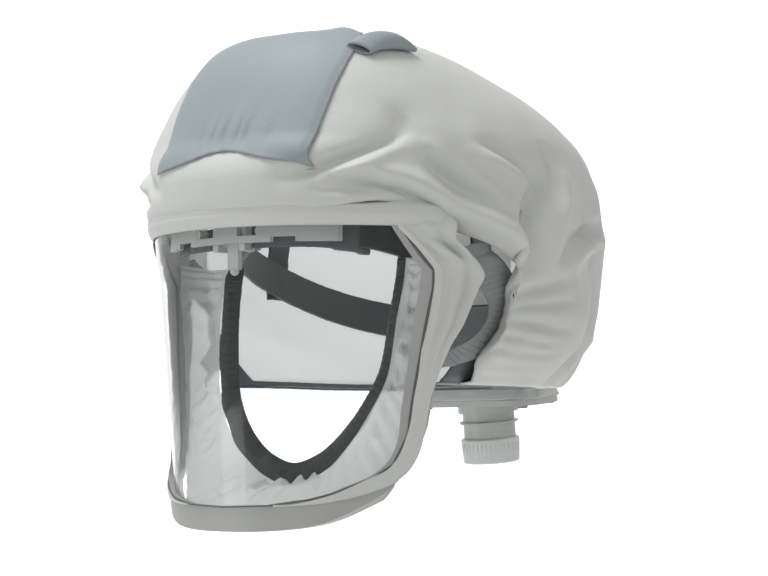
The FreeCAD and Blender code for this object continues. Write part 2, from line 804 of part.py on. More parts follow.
cradle = newBody("nape_cradle")
outline = newSketch(cradle, "XZ_Plane", "CradleOutline")
polygon(outline, [("-cradleHalf", "-cradleRise"), ("cradleHalf", "-cradleRise"),
                  ("cradleHalf", "cradleRise"), ("-cradleHalf", "cradleRise")])
pad(cradle, outline, "cradleThick", "CradlePad")


def acrossY(edge):
    line = edge.Vertexes[0].Point - edge.Vertexes[-1].Point
    return line.Length > 0.5 and abs(line.x) < 0.05 and abs(line.z) < 0.5


roundEdges(cradle, "cradleCorner", acrossY, "CradleCorners")
keep(cradle, "nape_cradle", napePlace)

pad1 = doc.addObject("Part::Box", "NapePad")
pad1.setExpression("Length", "2*Sizes.napePadHalf")
pad1.setExpression("Width", "Sizes.napePadThick")
pad1.setExpression("Height", "2*Sizes.cradleRise-4")
doc.recompute()
padSoft = doc.addObject("Part::Fillet", "NapePadRound")
padSoft.Base = pad1
padSoft.Edges = [(i, 2.0, 2.0) for i in range(1, 13)]
doc.recompute()
padShift = V(-size("napePadHalf"), -size("cradleThick") - size("napePadThick"),
             -size("cradleRise") + 2)
keep(padSoft, "nape_pad", napePlace.multiply(FreeCAD.Placement(padShift, FreeCAD.Rotation())))

# toothed tails slide between the cradle and its cover, one above and one below the pinion
for side, label in ((1, "rack_tail_left"), (-1, "rack_tail_right")):
    tail = newBody(label)
    outline = newSketch(tail, "XZ_Plane", "TailOutline")
    inner = "-rackInner" if side > 0 else "rackInner"
    outer = "rackLong-rackInner" if side > 0 else "-rackLong+rackInner"
    near = "rackLine" if side > 0 else "-rackLine"
    far = "rackLine+rackTall" if side > 0 else "-rackLine-rackTall"
    corners = [(inner, near), (outer, near), (outer, far), (inner, far)]
    if side < 0:
        corners = [corners[1], corners[0], corners[3], corners[2]]
    polygon(outline, corners)
    pad(tail, outline, "rackThick", "TailPad", reverse=True)
    notch = newSketch(tail, "XZ_Plane", "ToothGap")
    low = "rackLine-0.2" if side > 0 else "-rackLine-toothDepth"
    high = "rackLine+toothDepth" if side > 0 else "-rackLine+0.2"
    first = "-rackInner+1" if side > 0 else "rackInner-1-toothGap"
    polygon(notch, [(first, low), (first + "+toothGap", low), (first + "+toothGap", high),
                    (first, high)])
    cut = pocketThrough(tail, notch, "ToothCut")
    rowOfTeeth = tail.newObject("PartDesign::LinearPattern", "ToothRow")
    rowOfTeeth.Originals = [cut]
    rowOfTeeth.Direction = (notch, ["H_Axis"])
    rowOfTeeth.Reversed = side < 0
    rowOfTeeth.Length = number("toothRun")
    rowOfTeeth.setExpression("Length", "Sizes.toothRun")
    rowOfTeeth.Occurrences = int(size("rackTeeth"))
    before = tail.Shape.Volume
    tail.Tip = rowOfTeeth
    doc.recompute()
    if not tail.Shape.Volume < before - 1:
        raise ValueError("tooth row cuts nothing")
    tailShift = FreeCAD.Placement(V(0, size("slideGap"), 0), FreeCAD.Rotation())
    keep(tail, label, napePlace.multiply(tailShift))

cover = newBody("ratchet_cover")
outline = newSketch(cover, "XZ_Plane", "CoverOutline")
polygon(outline, [("-coverHalf", "-coverRise"), ("coverHalf", "-coverRise"),
                  ("coverHalf", "coverRise"), ("-coverHalf", "coverRise")])
pad(cover, outline, "coverDeep", "CoverPad", reverse=True)
roundEdges(cover, "coverCorner", acrossY, "CoverCorners")
channelCut = newSketch(cover, "XZ_Plane", "TailRoom")
polygon(channelCut, [("-coverHalf-1", "-tailRoom"), ("coverHalf+1", "-tailRoom"),
                     ("coverHalf+1", "tailRoom"), ("-coverHalf-1", "tailRoom")])
before = cover.Shape.Volume
room = cover.newObject("PartDesign::Pocket", "TailChannel")
room.Profile = channelCut
room.Length = number("channelCut")
room.setExpression("Length", "Sizes.channelCut")
cover.Tip = room
doc.recompute()
if not cover.Shape.Volume < before - 1:
    raise ValueError("tail channel cuts nothing")
shaftHole = newSketch(cover, "XZ_Plane", "ShaftHole")
circle(shaftHole, "0", "0", "shaftRadius+runningFit")
pocketThrough(cover, shaftHole, "ShaftPocket")
keep(cover, "ratchet_cover", napePlace)

pinion = newBody("ratchet_pinion")
blank = newSketch(pinion, "XZ_Plane", "PinionBlank")
circle(blank, "0", "0", "pinionRadius")
pad(pinion, blank, "rackThick", "PinionPad", reverse=True)
gap = newSketch(pinion, "XZ_Plane", "PinionGap")
polygon(gap, [("-0.6", "pinionRadius-toothDepth"), ("0.6", "pinionRadius-toothDepth"),
              ("0.9", "pinionRadius+0.5"), ("-0.9", "pinionRadius+0.5")])
gapCut = pocketThrough(pinion, gap, "PinionGapCut")
polar(pinion, gapCut, "Y_Axis", "pinionTeeth", "PinionTeeth")
pinionShift = FreeCAD.Placement(V(0, size("slideGap"), 0), FreeCAD.Rotation())
keep(pinion, "ratchet_pinion", napePlace.multiply(pinionShift))

knob = newBody("ratchet_knob")
stem = newSketch(knob, "XZ_Plane", "KnobStem")
circle(stem, "0", "0", "shaftRadius")
pad(knob, stem, "stemLong", "StemPad", reverse=True)
disc = newSketch(knob, "XZ_Plane", "KnobDisc")
disc.AttachmentOffset = FreeCAD.Placement(V(0, 0, -number("knobStart")), FreeCAD.Rotation())
circle(disc, "0", "0", "knobRadius")
pad(knob, disc, "knobDepth", "KnobPad", reverse=True)
grip = newSketch(knob, "XZ_Plane", "GripCut")
circle(grip, "0", "knobRadius+1.4", "gripRadius")
gripCut = knob.newObject("PartDesign::Pocket", "GripPocket")
gripCut.Profile = grip
gripCut.Type = "ThroughAll"
gripCut.SideType = "Symmetric"
knob.Tip = gripCut
doc.recompute()
polar(knob, gripCut, "Y_Axis", "knobGrips", "KnobGrips")
stemShift = FreeCAD.Placement(V(0, size("slideGap") + size("rackThick"), 0), FreeCAD.Rotation())
keep(knob, "ratchet_knob", napePlace.multiply(stemShift))

# blue grey cloth at the nape: an upright strip and the floor that carries the inlet
napeFloor = Part.makeBox(2 * windowHalf, size("plateDeep") + 5, fabric,
                         V(-windowHalf, -size("plateDeep") / 2 - 2.5, 0))
napeFloor = napeFloor.cut(Part.makeCylinder(size("tubeRadius") + 0.1, 20, V(0, 0, -5)))
for sx in (-1, 1):
    for sy in (-1, 1):
        spot = V(sx * size("screwSpanLong"), sy * size("screwSpanDeep"), -5)
        napeFloor = napeFloor.cut(Part.makeCylinder(size("screwShank") + 0.1, 20, spot))
napeFloor.Placement = inletPlace
frontEdge = size("inletBack") - size("plateDeep") / 2 - 2.5
napeWall = Part.makeBox(2 * windowHalf, fabric, 22, V(-windowHalf, frontEdge - 1, -67))
footprint = Part.Face(sectionWire(*hoodSections[0], 0.5)).extrude(V(0, 0, 60))
footprint.translate(V(0, 0, -40))
napeCloth = napeFloor.fuse(napeWall).removeSplitter().common(footprint)
napeCloth = napeCloth.cut(greyShell).cut(hemShell)
napeCloth = napeCloth.cut(plate.Shape).cut(clamp.Shape)
feature("nape_panel", sorted(napeCloth.Solids, key=lambda one: one.Volume)[-1])

screws = []
for sx in (-1, 1):
    for sy in (-1, 1):
        x = sx * size("screwSpanLong")
        y = sy * size("screwSpanDeep")
        top = fabric + size("clampThick")
        shank = Part.makeCylinder(size("screwShank"), size("plateThick") + top, V(x, y, -size("plateThick")))
        head = Part.makeCylinder(size("screwHead"), 1.6, V(x, y, -size("plateThick") - 1.6))
        tipNut = Part.makeCylinder(size("screwHead"), 2, V(x, y, top))
        screw = shank.fuse(head).fuse(tipNut).removeSplitter()
        screw.Placement = inletPlace
        screws.append(screw)
feature("inlet_screws", Part.makeCompound(screws))

# visor carrier: the stiff strip behind the brow, with its slot, catch, lever and studs
carrierLow = size("carrierLow")
carrierHigh = size("carrierHigh")


def arcStrip(radius, thick, low, high, half):
    outer = Part.makeCylinder(radius + thick, high - low, V(0, -topCentre, low))
    inner = Part.makeCylinder(radius, high - low, V(0, -topCentre, low))
    window = Part.makeBox(2 * half, 200, 200, V(-half, -topCentre - 200, -100))
    return outer.cut(inner).common(window)


carrier = arcStrip(size("carrierRadius"), size("carrierThick"), carrierLow, carrierHigh,
                   size("carrierHalf"))
for low, high, left, right in ((21, 27, -24, -9), (21, 27, 9, 24), (14, 20, 30, 44),
                               (14, 20, -44, -30)):
    carrier = carrier.cut(Part.makeBox(right - left, 60, high - low, V(left, -170, low)))
feature("visor_carrier", carrier)
strip = arcStrip(size("stripRadius"), size("stripThick"), size("stripLow"), size("stripHigh"),
                 size("carrierHalf") + 4)
catchFace = -topCentre - size("stripRadius")
strip = strip.cut(Part.makeBox(28, 20, 40, V(-14, catchFace - 10, -5)))
feature("brow_strip", strip)

# catch: a U shaped hook on the carrier that the lever closes
hookFace = -topCentre - size("carrierRadius")
hook = Part.makeBox(4, 9, 14, V(-12, hookFace + 0.8, 13))
hook = hook.fuse(Part.makeBox(4, 9, 14, V(8, hookFace + 0.8, 13)))
hook = hook.fuse(Part.makeBox(24, 3, 5, V(-12, hookFace + 0.8, 22)))
pinLevel = 17
pinBack = hookFace + 6
pinBore = Part.makeCylinder(size("leverPin") + size("runningFit"), 24.4, V(-12.2, pinBack, pinLevel),
                            V(1, 0, 0))
hook = hook.cut(pinBore).cut(carrier).removeSplitter()
feature("carrier_catch", sorted(hook.Solids, key=lambda one: one.Volume)[-1])

lever = doc.addObject("Part::Cylinder", "LeverPin")
lever.setExpression("Radius", "Sizes.leverPin")
lever.Height = 24
lever.Placement = FreeCAD.Placement(V(-12, pinBack, pinLevel), FreeCAD.Rotation(V(0, 1, 0), 90))
arm = doc.addObject("Part::Box", "LeverArm")
arm.Length = 8
arm.Width = 3.4
arm.setExpression("Height", "Sizes.leverLong")
arm.Placement = FreeCAD.Placement(V(-4, pinBack - 1.7, pinLevel - size("leverLong") + 1.7),
                                  FreeCAD.Rotation())
ball = doc.addObject("Part::Sphere", "LeverBall")
ball.setExpression("Radius", "Sizes.leverBall")
ball.Placement = FreeCAD.Placement(V(0, pinBack, pinLevel - size("leverLong") + 1),
                                   FreeCAD.Rotation())
leverBody = doc.addObject("Part::MultiFuse", "CatchLever")
leverBody.Shapes = [lever, arm, ball]
doc.recompute()
keep(leverBody, "catch_lever")

studs = []
studRadius = 3
studFace = size("carrierRadius")
for degrees in (-40, -14, 14, 40):
    turn = math.radians(degrees)
    out = V(math.sin(turn), -math.cos(turn), 0)
    foot = V(0, -topCentre, 23.5) + out * (studFace - 2.2)
    stud = Part.makeCylinder(studRadius, 6, foot - out * 1.2, out)
    studs.append(stud.cut(carrier).cut(strip).cut(hook))
studSet = [max(one.Solids, key=lambda s: s.Volume) for one in studs]
feature("carrier_studs", Part.makeCompound(studSet))

doc.recompute()
for item in doc.Objects:
    if "Invalid" in item.State or "Error" in item.State:
        raise ValueError("failed object: %s %s" % (item.Name, item.State))
for label, item in nodes.items():
    shape = item.Shape
    if shape.isNull() or not shape.isValid() or shape.Volume <= 0:
        raise ValueError("bad shape: " + label)
total = 0
for label, item in nodes.items():
    item.Shape.exportStep("parts/%s.step" % label)
    box = item.Shape.BoundBox
    print("%-18s solids %d  %7.2f cm3  x %6.1f %6.1f  y %6.1f %6.1f  z %6.1f %6.1f" % (
        label, len(item.Shape.Solids), item.Shape.Volume / 1000, box.XMin, box.XMax,
        box.YMin, box.YMax, box.ZMin, box.ZMax))
    total += item.Shape.Volume / 1000
print("nodes", len(nodes), "volume cm3", round(total, 1))
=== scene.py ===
import math
import bpy
import bmesh
from bisect import bisect_right
from mathutils import Matrix, Vector, noise
from mathutils.bvhtree import BVHTree


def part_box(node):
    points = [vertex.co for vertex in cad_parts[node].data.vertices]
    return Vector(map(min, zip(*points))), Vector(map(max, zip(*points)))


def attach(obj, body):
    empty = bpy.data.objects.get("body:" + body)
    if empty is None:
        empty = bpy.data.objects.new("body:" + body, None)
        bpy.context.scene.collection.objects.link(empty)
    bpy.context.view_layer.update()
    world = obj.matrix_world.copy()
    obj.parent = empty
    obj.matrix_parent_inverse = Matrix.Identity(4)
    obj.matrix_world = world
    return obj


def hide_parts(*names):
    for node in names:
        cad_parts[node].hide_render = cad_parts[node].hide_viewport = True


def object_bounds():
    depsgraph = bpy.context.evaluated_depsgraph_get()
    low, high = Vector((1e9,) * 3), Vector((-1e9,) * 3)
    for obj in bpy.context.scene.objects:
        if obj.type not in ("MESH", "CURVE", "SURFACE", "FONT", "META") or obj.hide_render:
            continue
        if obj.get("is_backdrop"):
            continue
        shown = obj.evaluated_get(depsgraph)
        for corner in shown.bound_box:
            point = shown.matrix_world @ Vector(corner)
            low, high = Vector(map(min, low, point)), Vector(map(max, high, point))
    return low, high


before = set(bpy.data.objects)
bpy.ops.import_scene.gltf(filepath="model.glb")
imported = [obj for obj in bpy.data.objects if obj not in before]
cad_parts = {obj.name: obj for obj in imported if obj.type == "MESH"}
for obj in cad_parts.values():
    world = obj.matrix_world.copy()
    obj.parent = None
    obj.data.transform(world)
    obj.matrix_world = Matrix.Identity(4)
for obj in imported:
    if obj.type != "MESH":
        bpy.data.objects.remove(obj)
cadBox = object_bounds()
mm = 0.001
weld = 0.00005
scene = bpy.context.scene
print("frame loaded")


# camera at the wearer's left front, a little below eye level

cameraSettings = {
    "turn": 38, "rise": -4, "distance": 1.4, "target": (0, 0.008, 0), "wide": 0.476, "sensor": 36,
    "far": 50,
}


def makeCamera(settings):
    turn = math.radians(settings["turn"])
    rise = math.radians(settings["rise"])
    flat = math.cos(rise)
    back = Vector((math.sin(turn) * flat, -math.cos(turn) * flat, math.sin(rise)))
    data = bpy.data.cameras.new("hoodCamera")
    data.sensor_width = settings["sensor"]
    data.lens = settings["sensor"] * settings["distance"] / settings["wide"]
    data.clip_end = settings["far"]
    camera = bpy.data.objects.new("hoodCamera", data)
    scene.collection.objects.link(camera)
    camera.location = Vector(settings["target"]) + back * settings["distance"]
    camera.rotation_mode = "QUATERNION"
    camera.rotation_quaternion = (-back).to_track_quat("-Z", "Y")
    scene.camera = camera


makeCamera(cameraSettings)


# studio: pale sweep and soft lamps, in metres

studio = {
    "floor": -0.75, "front": -3.0, "back": 3.2, "height": 5, "bend": 1, "bendSteps": 8, "halfWidth": 6,
    "world": 0.40, "wall": (0.96, 0.96, 0.96), "wallRough": 0.9,
    # name, place, aim, watts, width
    "lamps": [
        ("lampTop", (-0.4, -0.5, 1.7), (0, 0, 0), 21, 0.7),
        ("lampKey", (0.1, -1.7, 0.9), (0, 0, 0), 3.2, 0.7),
        ("lampRight", (1.7, 0.1, 0.7), (0, 0, 0), 3.0, 0.6),
        ("lampLow", (-0.9, -1.4, -0.55), (0, 0.08, -0.02), 3.6, 0.6),
        ("lampBack", (-0.74, 0.95, 1.3), (-2.0, 2.5, 0.3), 60, 1.2),
    ],
}


def newObject(name, bm, material=None, smooth=True):
    mesh = bpy.data.meshes.new(name)
    bm.to_mesh(mesh)
    bm.free()
    obj = bpy.data.objects.new(name, mesh)
    scene.collection.objects.link(obj)
    if smooth:
        mesh.polygons.foreach_set("use_smooth", [True] * len(mesh.polygons))
    if material:
        mesh.materials.append(material)
    return obj


def newMaterial(name):
    material = bpy.data.materials.new(name)
    material.use_nodes = True
    tree = material.node_tree
    return material, tree, tree.nodes["Principled BSDF"]


def makeStudio(s):
    bm = bmesh.new()
    bend = s["bend"]
    rows = [(s["front"], s["floor"])]
    for step in range(s["bendSteps"] + 1):
        turn = math.radians(step * 90 / s["bendSteps"])
        y = s["back"] - bend + bend * math.sin(turn)
        rows.append((y, s["floor"] + bend - bend * math.cos(turn)))
    rows.append((s["back"], s["floor"] + s["height"]))
    line = [bm.verts.new((-s["halfWidth"], y, z)) for y, z in rows]
    edges = [bm.edges.new((line[i], line[i + 1])) for i in range(len(line) - 1)]
    swept = bmesh.ops.extrude_edge_only(bm, edges=edges)
    moved = [v for v in swept["geom"] if isinstance(v, bmesh.types.BMVert)]
    bmesh.ops.translate(bm, verts=moved, vec=(2 * s["halfWidth"], 0, 0))
    facing = Matrix.Rotation(math.radians(cameraSettings["turn"]), 4, "Z")
    bmesh.ops.rotate(bm, verts=bm.verts, cent=(0, 0, 0), matrix=facing)
    material, tree, shader = newMaterial("studioPaper")
    shader.inputs["Base Color"].default_value = (*s["wall"], 1)
    shader.inputs["Roughness"].default_value = s["wallRough"]
    newObject("studioSweep", bm, material)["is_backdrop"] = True
    world = bpy.data.worlds.new("studioLight")
    world.use_nodes = True
    light = world.node_tree.nodes["Background"]
    light.inputs["Color"].default_value = (1, 1, 1, 1)
    light.inputs["Strength"].default_value = s["world"]
    scene.world = world
    for name, place, aim, energy, wide in s["lamps"]:
        data = bpy.data.lights.new(name, "AREA")
        data.energy = energy
        data.size = wide
        lamp = bpy.data.objects.new(name, data)
        scene.collection.objects.link(lamp)
        lamp.location = place
        lamp.rotation_mode = "QUATERNION"
        lamp.rotation_quaternion = (Vector(aim) - Vector(place)).to_track_quat("-Z", "Y")


makeStudio(studio)
scene.view_settings.view_transform = "Standard"


# shared effects

def makeGroup(name, inputs, outputs):
    group = bpy.data.node_groups.new(name, "ShaderNodeTree")
    for label, kind, value in inputs:
        socket = group.interface.new_socket(name=label, in_out="INPUT", socket_type=kind)
        if value is not None:
            socket.default_value = value
    for label, kind in outputs:
        group.interface.new_socket(name=label, in_out="OUTPUT", socket_type=kind)
    start = group.nodes.new("NodeGroupInput")
    end = group.nodes.new("NodeGroupOutput")
    return group, start, end


def mathNode(tree, operation, first, second=None):
    node = tree.nodes.new("ShaderNodeMath")
    node.operation = operation
    for socket, value in zip(node.inputs, (first, second)):
        if value is None:
            continue
        if isinstance(value, (int, float)):
            socket.default_value = value
        else:
            tree.links.new(value, socket)
    return node.outputs[0]


def noiseNode(tree, vector, detail, scale=None):
    node = tree.nodes.new("ShaderNodeTexNoise")
    if scale is not None:
        node.inputs["Scale"].default_value = scale
    node.inputs["Detail"].default_value = detail
    tree.links.new(vector, node.inputs["Vector"])
    return node


def blendColours(group, start, end, factor):
    mix = group.nodes.new("ShaderNodeMix")
    mix.data_type = "RGBA"
    group.links.new(factor, mix.inputs["Factor"])
    group.links.new(start.outputs["Shade"], mix.inputs["A"])
    group.links.new(start.outputs["Colour"], mix.inputs["B"])
    group.links.new(mix.outputs["Result"], end.inputs["Colour"])


grainOutputs = [
    ("Colour", "NodeSocketColor"), ("Height", "NodeSocketFloat"), ("Roughness", "NodeSocketFloat"),
]


def makeClothGroup():
    # fine weave height and slow colour change of a coated cloth
    group, start, end = makeGroup("clothWeave", [
        ("Vector", "NodeSocketVector", None), ("Threads", "NodeSocketFloat", 900.0),
        ("Colour", "NodeSocketColor", (0.6, 0.6, 0.6, 1)),
        ("Shade", "NodeSocketColor", (0.5, 0.5, 0.5, 1)),
    ], grainOutputs)
    links = group.links
    split = group.nodes.new("ShaderNodeSeparateXYZ")
    links.new(start.outputs["Vector"], split.inputs[0])
    waves = []
    for part in ("X", "Y", "Z"):
        scaled = mathNode(group, "MULTIPLY", split.outputs[part], start.outputs["Threads"])
        waves.append(mathNode(group, "SINE", scaled))
    weave = mathNode(group, "ADD", mathNode(group, "MULTIPLY", waves[0], waves[1]),
                     mathNode(group, "MULTIPLY", waves[1], waves[2]))
    cloud = noiseNode(group, start.outputs["Vector"], 5, 18)
    grain = noiseNode(group, start.outputs["Vector"], 3, 420)
    ramp = mathNode(group, "ADD", mathNode(group, "MULTIPLY", cloud.outputs["Fac"], 0.7),
                    mathNode(group, "MULTIPLY", grain.outputs["Fac"], 0.3))
    blendColours(group, start, end, ramp)
    height = mathNode(group, "ADD", mathNode(group, "MULTIPLY", weave, 0.35),
                      mathNode(group, "MULTIPLY", grain.outputs["Fac"], 0.8))
    links.new(height, end.inputs["Height"])
    rough = mathNode(group, "ADD", mathNode(group, "MULTIPLY", cloud.outputs["Fac"], 0.18), 0.5)
    links.new(rough, end.inputs["Roughness"])
    return group


def makeMouldGroup():
    # spark texture and faint blotches of moulded plastic
    group, start, end = makeGroup("mouldGrain", [
        ("Vector", "NodeSocketVector", None), ("Grain", "NodeSocketFloat", 900.0),
        ("Colour", "NodeSocketColor", (0.5, 0.5, 0.5, 1)),
        ("Shade", "NodeSocketColor", (0.45, 0.45, 0.45, 1)),
    ], grainOutputs)
    links = group.links
    grain = noiseNode(group, start.outputs["Vector"], 2)
    links.new(start.outputs["Grain"], grain.inputs["Scale"])
    cloud = noiseNode(group, start.outputs["Vector"], 4, 30)
    blendColours(group, start, end, cloud.outputs["Fac"])
    links.new(grain.outputs["Fac"], end.inputs["Height"])
    rough = mathNode(group, "ADD", mathNode(group, "MULTIPLY", cloud.outputs["Fac"], 0.2), 0.32)
    links.new(rough, end.inputs["Roughness"])
    return group


clothWeave = makeClothGroup()
mouldGrain = makeMouldGroup()


def grainMaterial(name, group, colour, shade, scale, bump, sheen=0.0, alpha=None):
    material, tree, shader = newMaterial(name)
    place = tree.nodes.new("ShaderNodeTexCoord")
    effect = tree.nodes.new("ShaderNodeGroup")
    effect.node_tree = group
    tree.links.new(place.outputs["Object"], effect.inputs["Vector"])
    effect.inputs[1].default_value = scale
    effect.inputs["Colour"].default_value = (*colour, 1)
    effect.inputs["Shade"].default_value = (*shade, 1)
    tree.links.new(effect.outputs["Colour"], shader.inputs["Base Color"])
    tree.links.new(effect.outputs["Roughness"], shader.inputs["Roughness"])
    relief = tree.nodes.new("ShaderNodeBump")
    relief.inputs["Strength"].default_value = bump
    relief.inputs["Distance"].default_value = 0.0004
    tree.links.new(effect.outputs["Height"], relief.inputs["Height"])
    tree.links.new(relief.outputs["Normal"], shader.inputs["Normal"])
    shader.inputs["Sheen Weight"].default_value = sheen
    if alpha is not None:
        shader.inputs["Alpha"].default_value = alpha
    return material


def tint(value):
    # sRGB 0-255 to linear
    shares = [v / 255 for v in value]
    return tuple(c / 12.92 if c < 0.04045 else ((c + 0.055) / 1.055) ** 2.4 for c in shares)


def clothMaterial(name, colour, shade, threads, bump, sheen=0.0, alpha=None):
    return grainMaterial(name, clothWeave, tint(colour), tint(shade), threads, bump, sheen, alpha)


def mouldMaterial(name, colour, shade, grain, bump):
    return grainMaterial(name, mouldGrain, tint(colour), tint(shade), grain, bump)


hoodMat = clothMaterial("hoodCloth", (214, 216, 213), (204, 206, 203), 2600, 0.12, 0.1)
blueMat = clothMaterial("crownCloth", (158, 168, 173), (146, 156, 162), 2600, 0.14, 0.1)
napeMat = clothMaterial("napeCloth", (92, 98, 104), (78, 84, 90), 2600, 0.14, 0.1)
browMat = clothMaterial("browStripCloth", (112, 115, 118), (98, 101, 104), 2600, 0.14)
elasticMat = clothMaterial("darkElastic", (88, 90, 91), (74, 76, 77), 3200, 0.3)
bandMat = clothMaterial("earElastic", (150, 153, 152), (136, 139, 138), 3200, 0.3)
webMat = clothMaterial("strapWeb", (96, 98, 100), (80, 82, 84), 3000, 0.4)
padMat = clothMaterial("padKnit", (120, 123, 125), (104, 107, 109), 2400, 0.3, 0.2)
sealMat = clothMaterial("sealCloth", (246, 247, 247), (238, 239, 240), 3000, 0.1, 0.0, 0.86)
frameMat = mouldMaterial("framePlastic", (178, 180, 177), (168, 170, 167), 1400, 0.08)
lightMat = mouldMaterial("lightPlastic", (196, 198, 195), (184, 186, 183), 1400, 0.08)
whiteMat = mouldMaterial("whitePlastic", (222, 224, 222), (210, 212, 210), 1400, 0.08)
darkMat = mouldMaterial("darkPlastic", (92, 94, 96), (80, 82, 84), 1200, 0.15)
lineMat = mouldMaterial("edgeLine", (104, 106, 106), (90, 92, 92), 900, 0.1)
rubberMat = mouldMaterial("ringRubber", (38, 38, 38), (28, 28, 28), 900, 0.1)
steelMat = mouldMaterial("screwSteel", (170, 170, 172), (150, 150, 152), 1800, 0.1)
steelMat.node_tree.nodes["Principled BSDF"].inputs["Metallic"].default_value = 1.0


def makeVisorMaterial():
    material, tree, shader = newMaterial("visorClear")
    place = tree.nodes.new("ShaderNodeTexCoord")
    haze = noiseNode(tree, place.outputs["Object"], 6, 60)
    span = tree.nodes.new("ShaderNodeMapRange")
    span.inputs["To Min"].default_value = 0.015
    span.inputs["To Max"].default_value = 0.05
    tree.links.new(haze.outputs["Fac"], span.inputs["Value"])
    tree.links.new(span.outputs["Result"], shader.inputs["Roughness"])
    shader.inputs["Base Color"].default_value = (0.97, 0.98, 0.98, 1)
    shader.inputs["Transmission Weight"].default_value = 1.0
    shader.inputs["IOR"].default_value = 1.2
    return material


visorMat = makeVisorMaterial()


def dress(node, material):
    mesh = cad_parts[node].data
    mesh.materials.clear()
    mesh.materials.append(material)


nodeFinish = {
    "visor": visorMat, "chin_rail": frameMat, "visor_frame_left": frameMat,
    "visor_frame_right": frameMat, "inlet_plate": lightMat, "spigot": lightMat,
    "swivel_sleeve": whiteMat, "retaining_nut": lightMat, "clamp_plate": lightMat,
    "visor_carrier": whiteMat, "carrier_catch": whiteMat, "catch_lever": whiteMat,
    "carrier_studs": whiteMat, "strap_pegs": darkMat, "headband": darkMat, "nape_cradle": darkMat,
    "rack_tail_left": darkMat, "rack_tail_right": darkMat, "ratchet_cover": darkMat,
    "ratchet_pinion": darkMat, "ratchet_knob": darkMat, "spigot_seal_ring": rubberMat,
    "inlet_screws": steelMat,
}
for node, material in nodeFinish.items():
    dress(node, material)
print("camera, studio and finishes")


# the hood: level, half width, front, back, squareness, in millimetres

hood = {
    "sections": [
        (-62, 95, -116, 143, 3.0), (-57, 104, -126, 147, 2.8), (-46, 112, -134, 149, 2.6),
        (-28, 118, -140, 150, 2.4), (0, 122.5, -146, 152, 2.4), (30, 124.5, -148, 151, 2.4),
        (60, 124, -147, 145, 2.4), (77.5, 120, -141, 134, 2.4), (93.5, 111, -135, 117, 2.4),
        (110.5, 98, -127, 85, 2.4), (125.5, 82, -117, 45, 2.4), (136, 66, -106, 14, 2.4),
        (142, 48, -94, -8, 2.4), (144.4, 0.5, -52, -51, 2.0),
    ],
    "lipEnd": 76, "columns": 336, "rows": 120, "thick": 1.1, "crown": 144.3,
    "rim": -58, "rimTurn": 86, "rimNear": 6,
    # shares of the lower edge from the front centre: the end of the front edge, the start of the rim
    "lipShare": 0.46, "edgeShare": 0.64,
    # the floor under the rim: scale about the middle, and level below the rim
    "middle": 0.02, "floorSteps": ((0.97, -3.0), (0.90, -3.6), (0.80, -3.2)),
    # the lower back draws in: levels where that starts and ends, and how far
    "draw": (-6, -66, 25),
    # the edge beside the face and round the ear: turn in degrees and level
    "edge": [(84, 7), (83, 0), (82, -6), (82.5, -12), (82.5, -20), (82, -29), (81, -38), (80.5, -47),
             (82, -54), (86, -58)],
    # the front edge: over the brow band, then the cloth hangs over the cheek flap
    "front": [(0, 33.5), (14, 33.5), (24, 33.8), (34, 35), (40, 37), (46, 38.5), (51, 38), (56, 35.5),
              (61, 31), (66.3, 26), (72, 20.5), (78, 14), (84, 7)],
}


def smoothStep(low, high, value):
    t = min(max((value - low) / (high - low), 0), 1)
    return t * t * (3 - 2 * t)


def curveThrough(points):
    # monotone cubic through (x, values...) rows, sorted by x
    xs = [p[0] for p in points]
    count = len(points[0]) - 1

    def slopes(k):
        ys = [p[k + 1] for p in points]
        d = [(ys[i + 1] - ys[i]) / (xs[i + 1] - xs[i]) for i in range(len(xs) - 1)]
        inner = [0.0 if a * b <= 0 else 2 * a * b / (a + b) for a, b in zip(d, d[1:])]
        return ys, [d[0], *inner, d[-1]]

    tracks = [slopes(k) for k in range(count)]

    def at(x):
        x = min(max(x, xs[0]), xs[-1])
        i = min(max(bisect_right(xs, x) - 1, 0), len(xs) - 2)
        wide = xs[i + 1] - xs[i]
        t = (x - xs[i]) / wide
        out = []
        for ys, m in tracks:
            a = (1 + 2 * t) * (1 - t) ** 2 * ys[i] + t * (1 - t) ** 2 * wide * m[i]
            b = t * t * (3 - 2 * t) * ys[i + 1] + t * t * (t - 1) * wide * m[i + 1]
            out.append(a + b)
        return out
    return at


sectionAt = curveThrough(hood["sections"])


def sectionPoint(turn, level):
    # turn in radians, 0 at the front, positive to the wearer's left
    half, front, back, square = sectionAt(level)
    start, end, deep = hood["draw"]
    draw = deep * smoothStep(start, end, level) ** 1.5
    half -= draw * 0.25
    back -= draw
    s = math.sin(turn)
    c = math.cos(turn)
    x = half * math.copysign(abs(s) ** (2 / square), s)
    y = (front + back) / 2 - (back - front) / 2 * math.copysign(abs(c) ** (2 / square), c)
    return Vector((x, y, level))


# the clear sheet: a cone about an upright line, from level 31 down
visorCone = {"radius": 107.5, "centre": -41.5, "top": 31, "high": 169, "taper": 16, "lean": 2.5}


def ringPoint(angle, level, grow):
    reach = visorCone["radius"] + grow
    return Vector((reach * math.sin(angle), visorCone["centre"] - reach * math.cos(angle), level))


def browGrow(level):
    # how far the rolled brow stands off the visor ring
    return 4.0 + 2.2 * math.sin(math.pi * min(max((level - 33) / 42, 0), 1)) ** 0.8


def skinPoint(turn, level):
    side = abs(math.degrees(turn))
    plain = sectionPoint(turn, level)
    if level > 78 or side > 80:
        return plain
    angle = turn * hood["lipEnd"] / 67.5
    ring = ringPoint(angle, level, browGrow(level))
    keep = smoothStep(52, 78, level)
    keep = keep + (1 - keep) * smoothStep(66, 76, side)
    return ring.lerp(plain, keep)


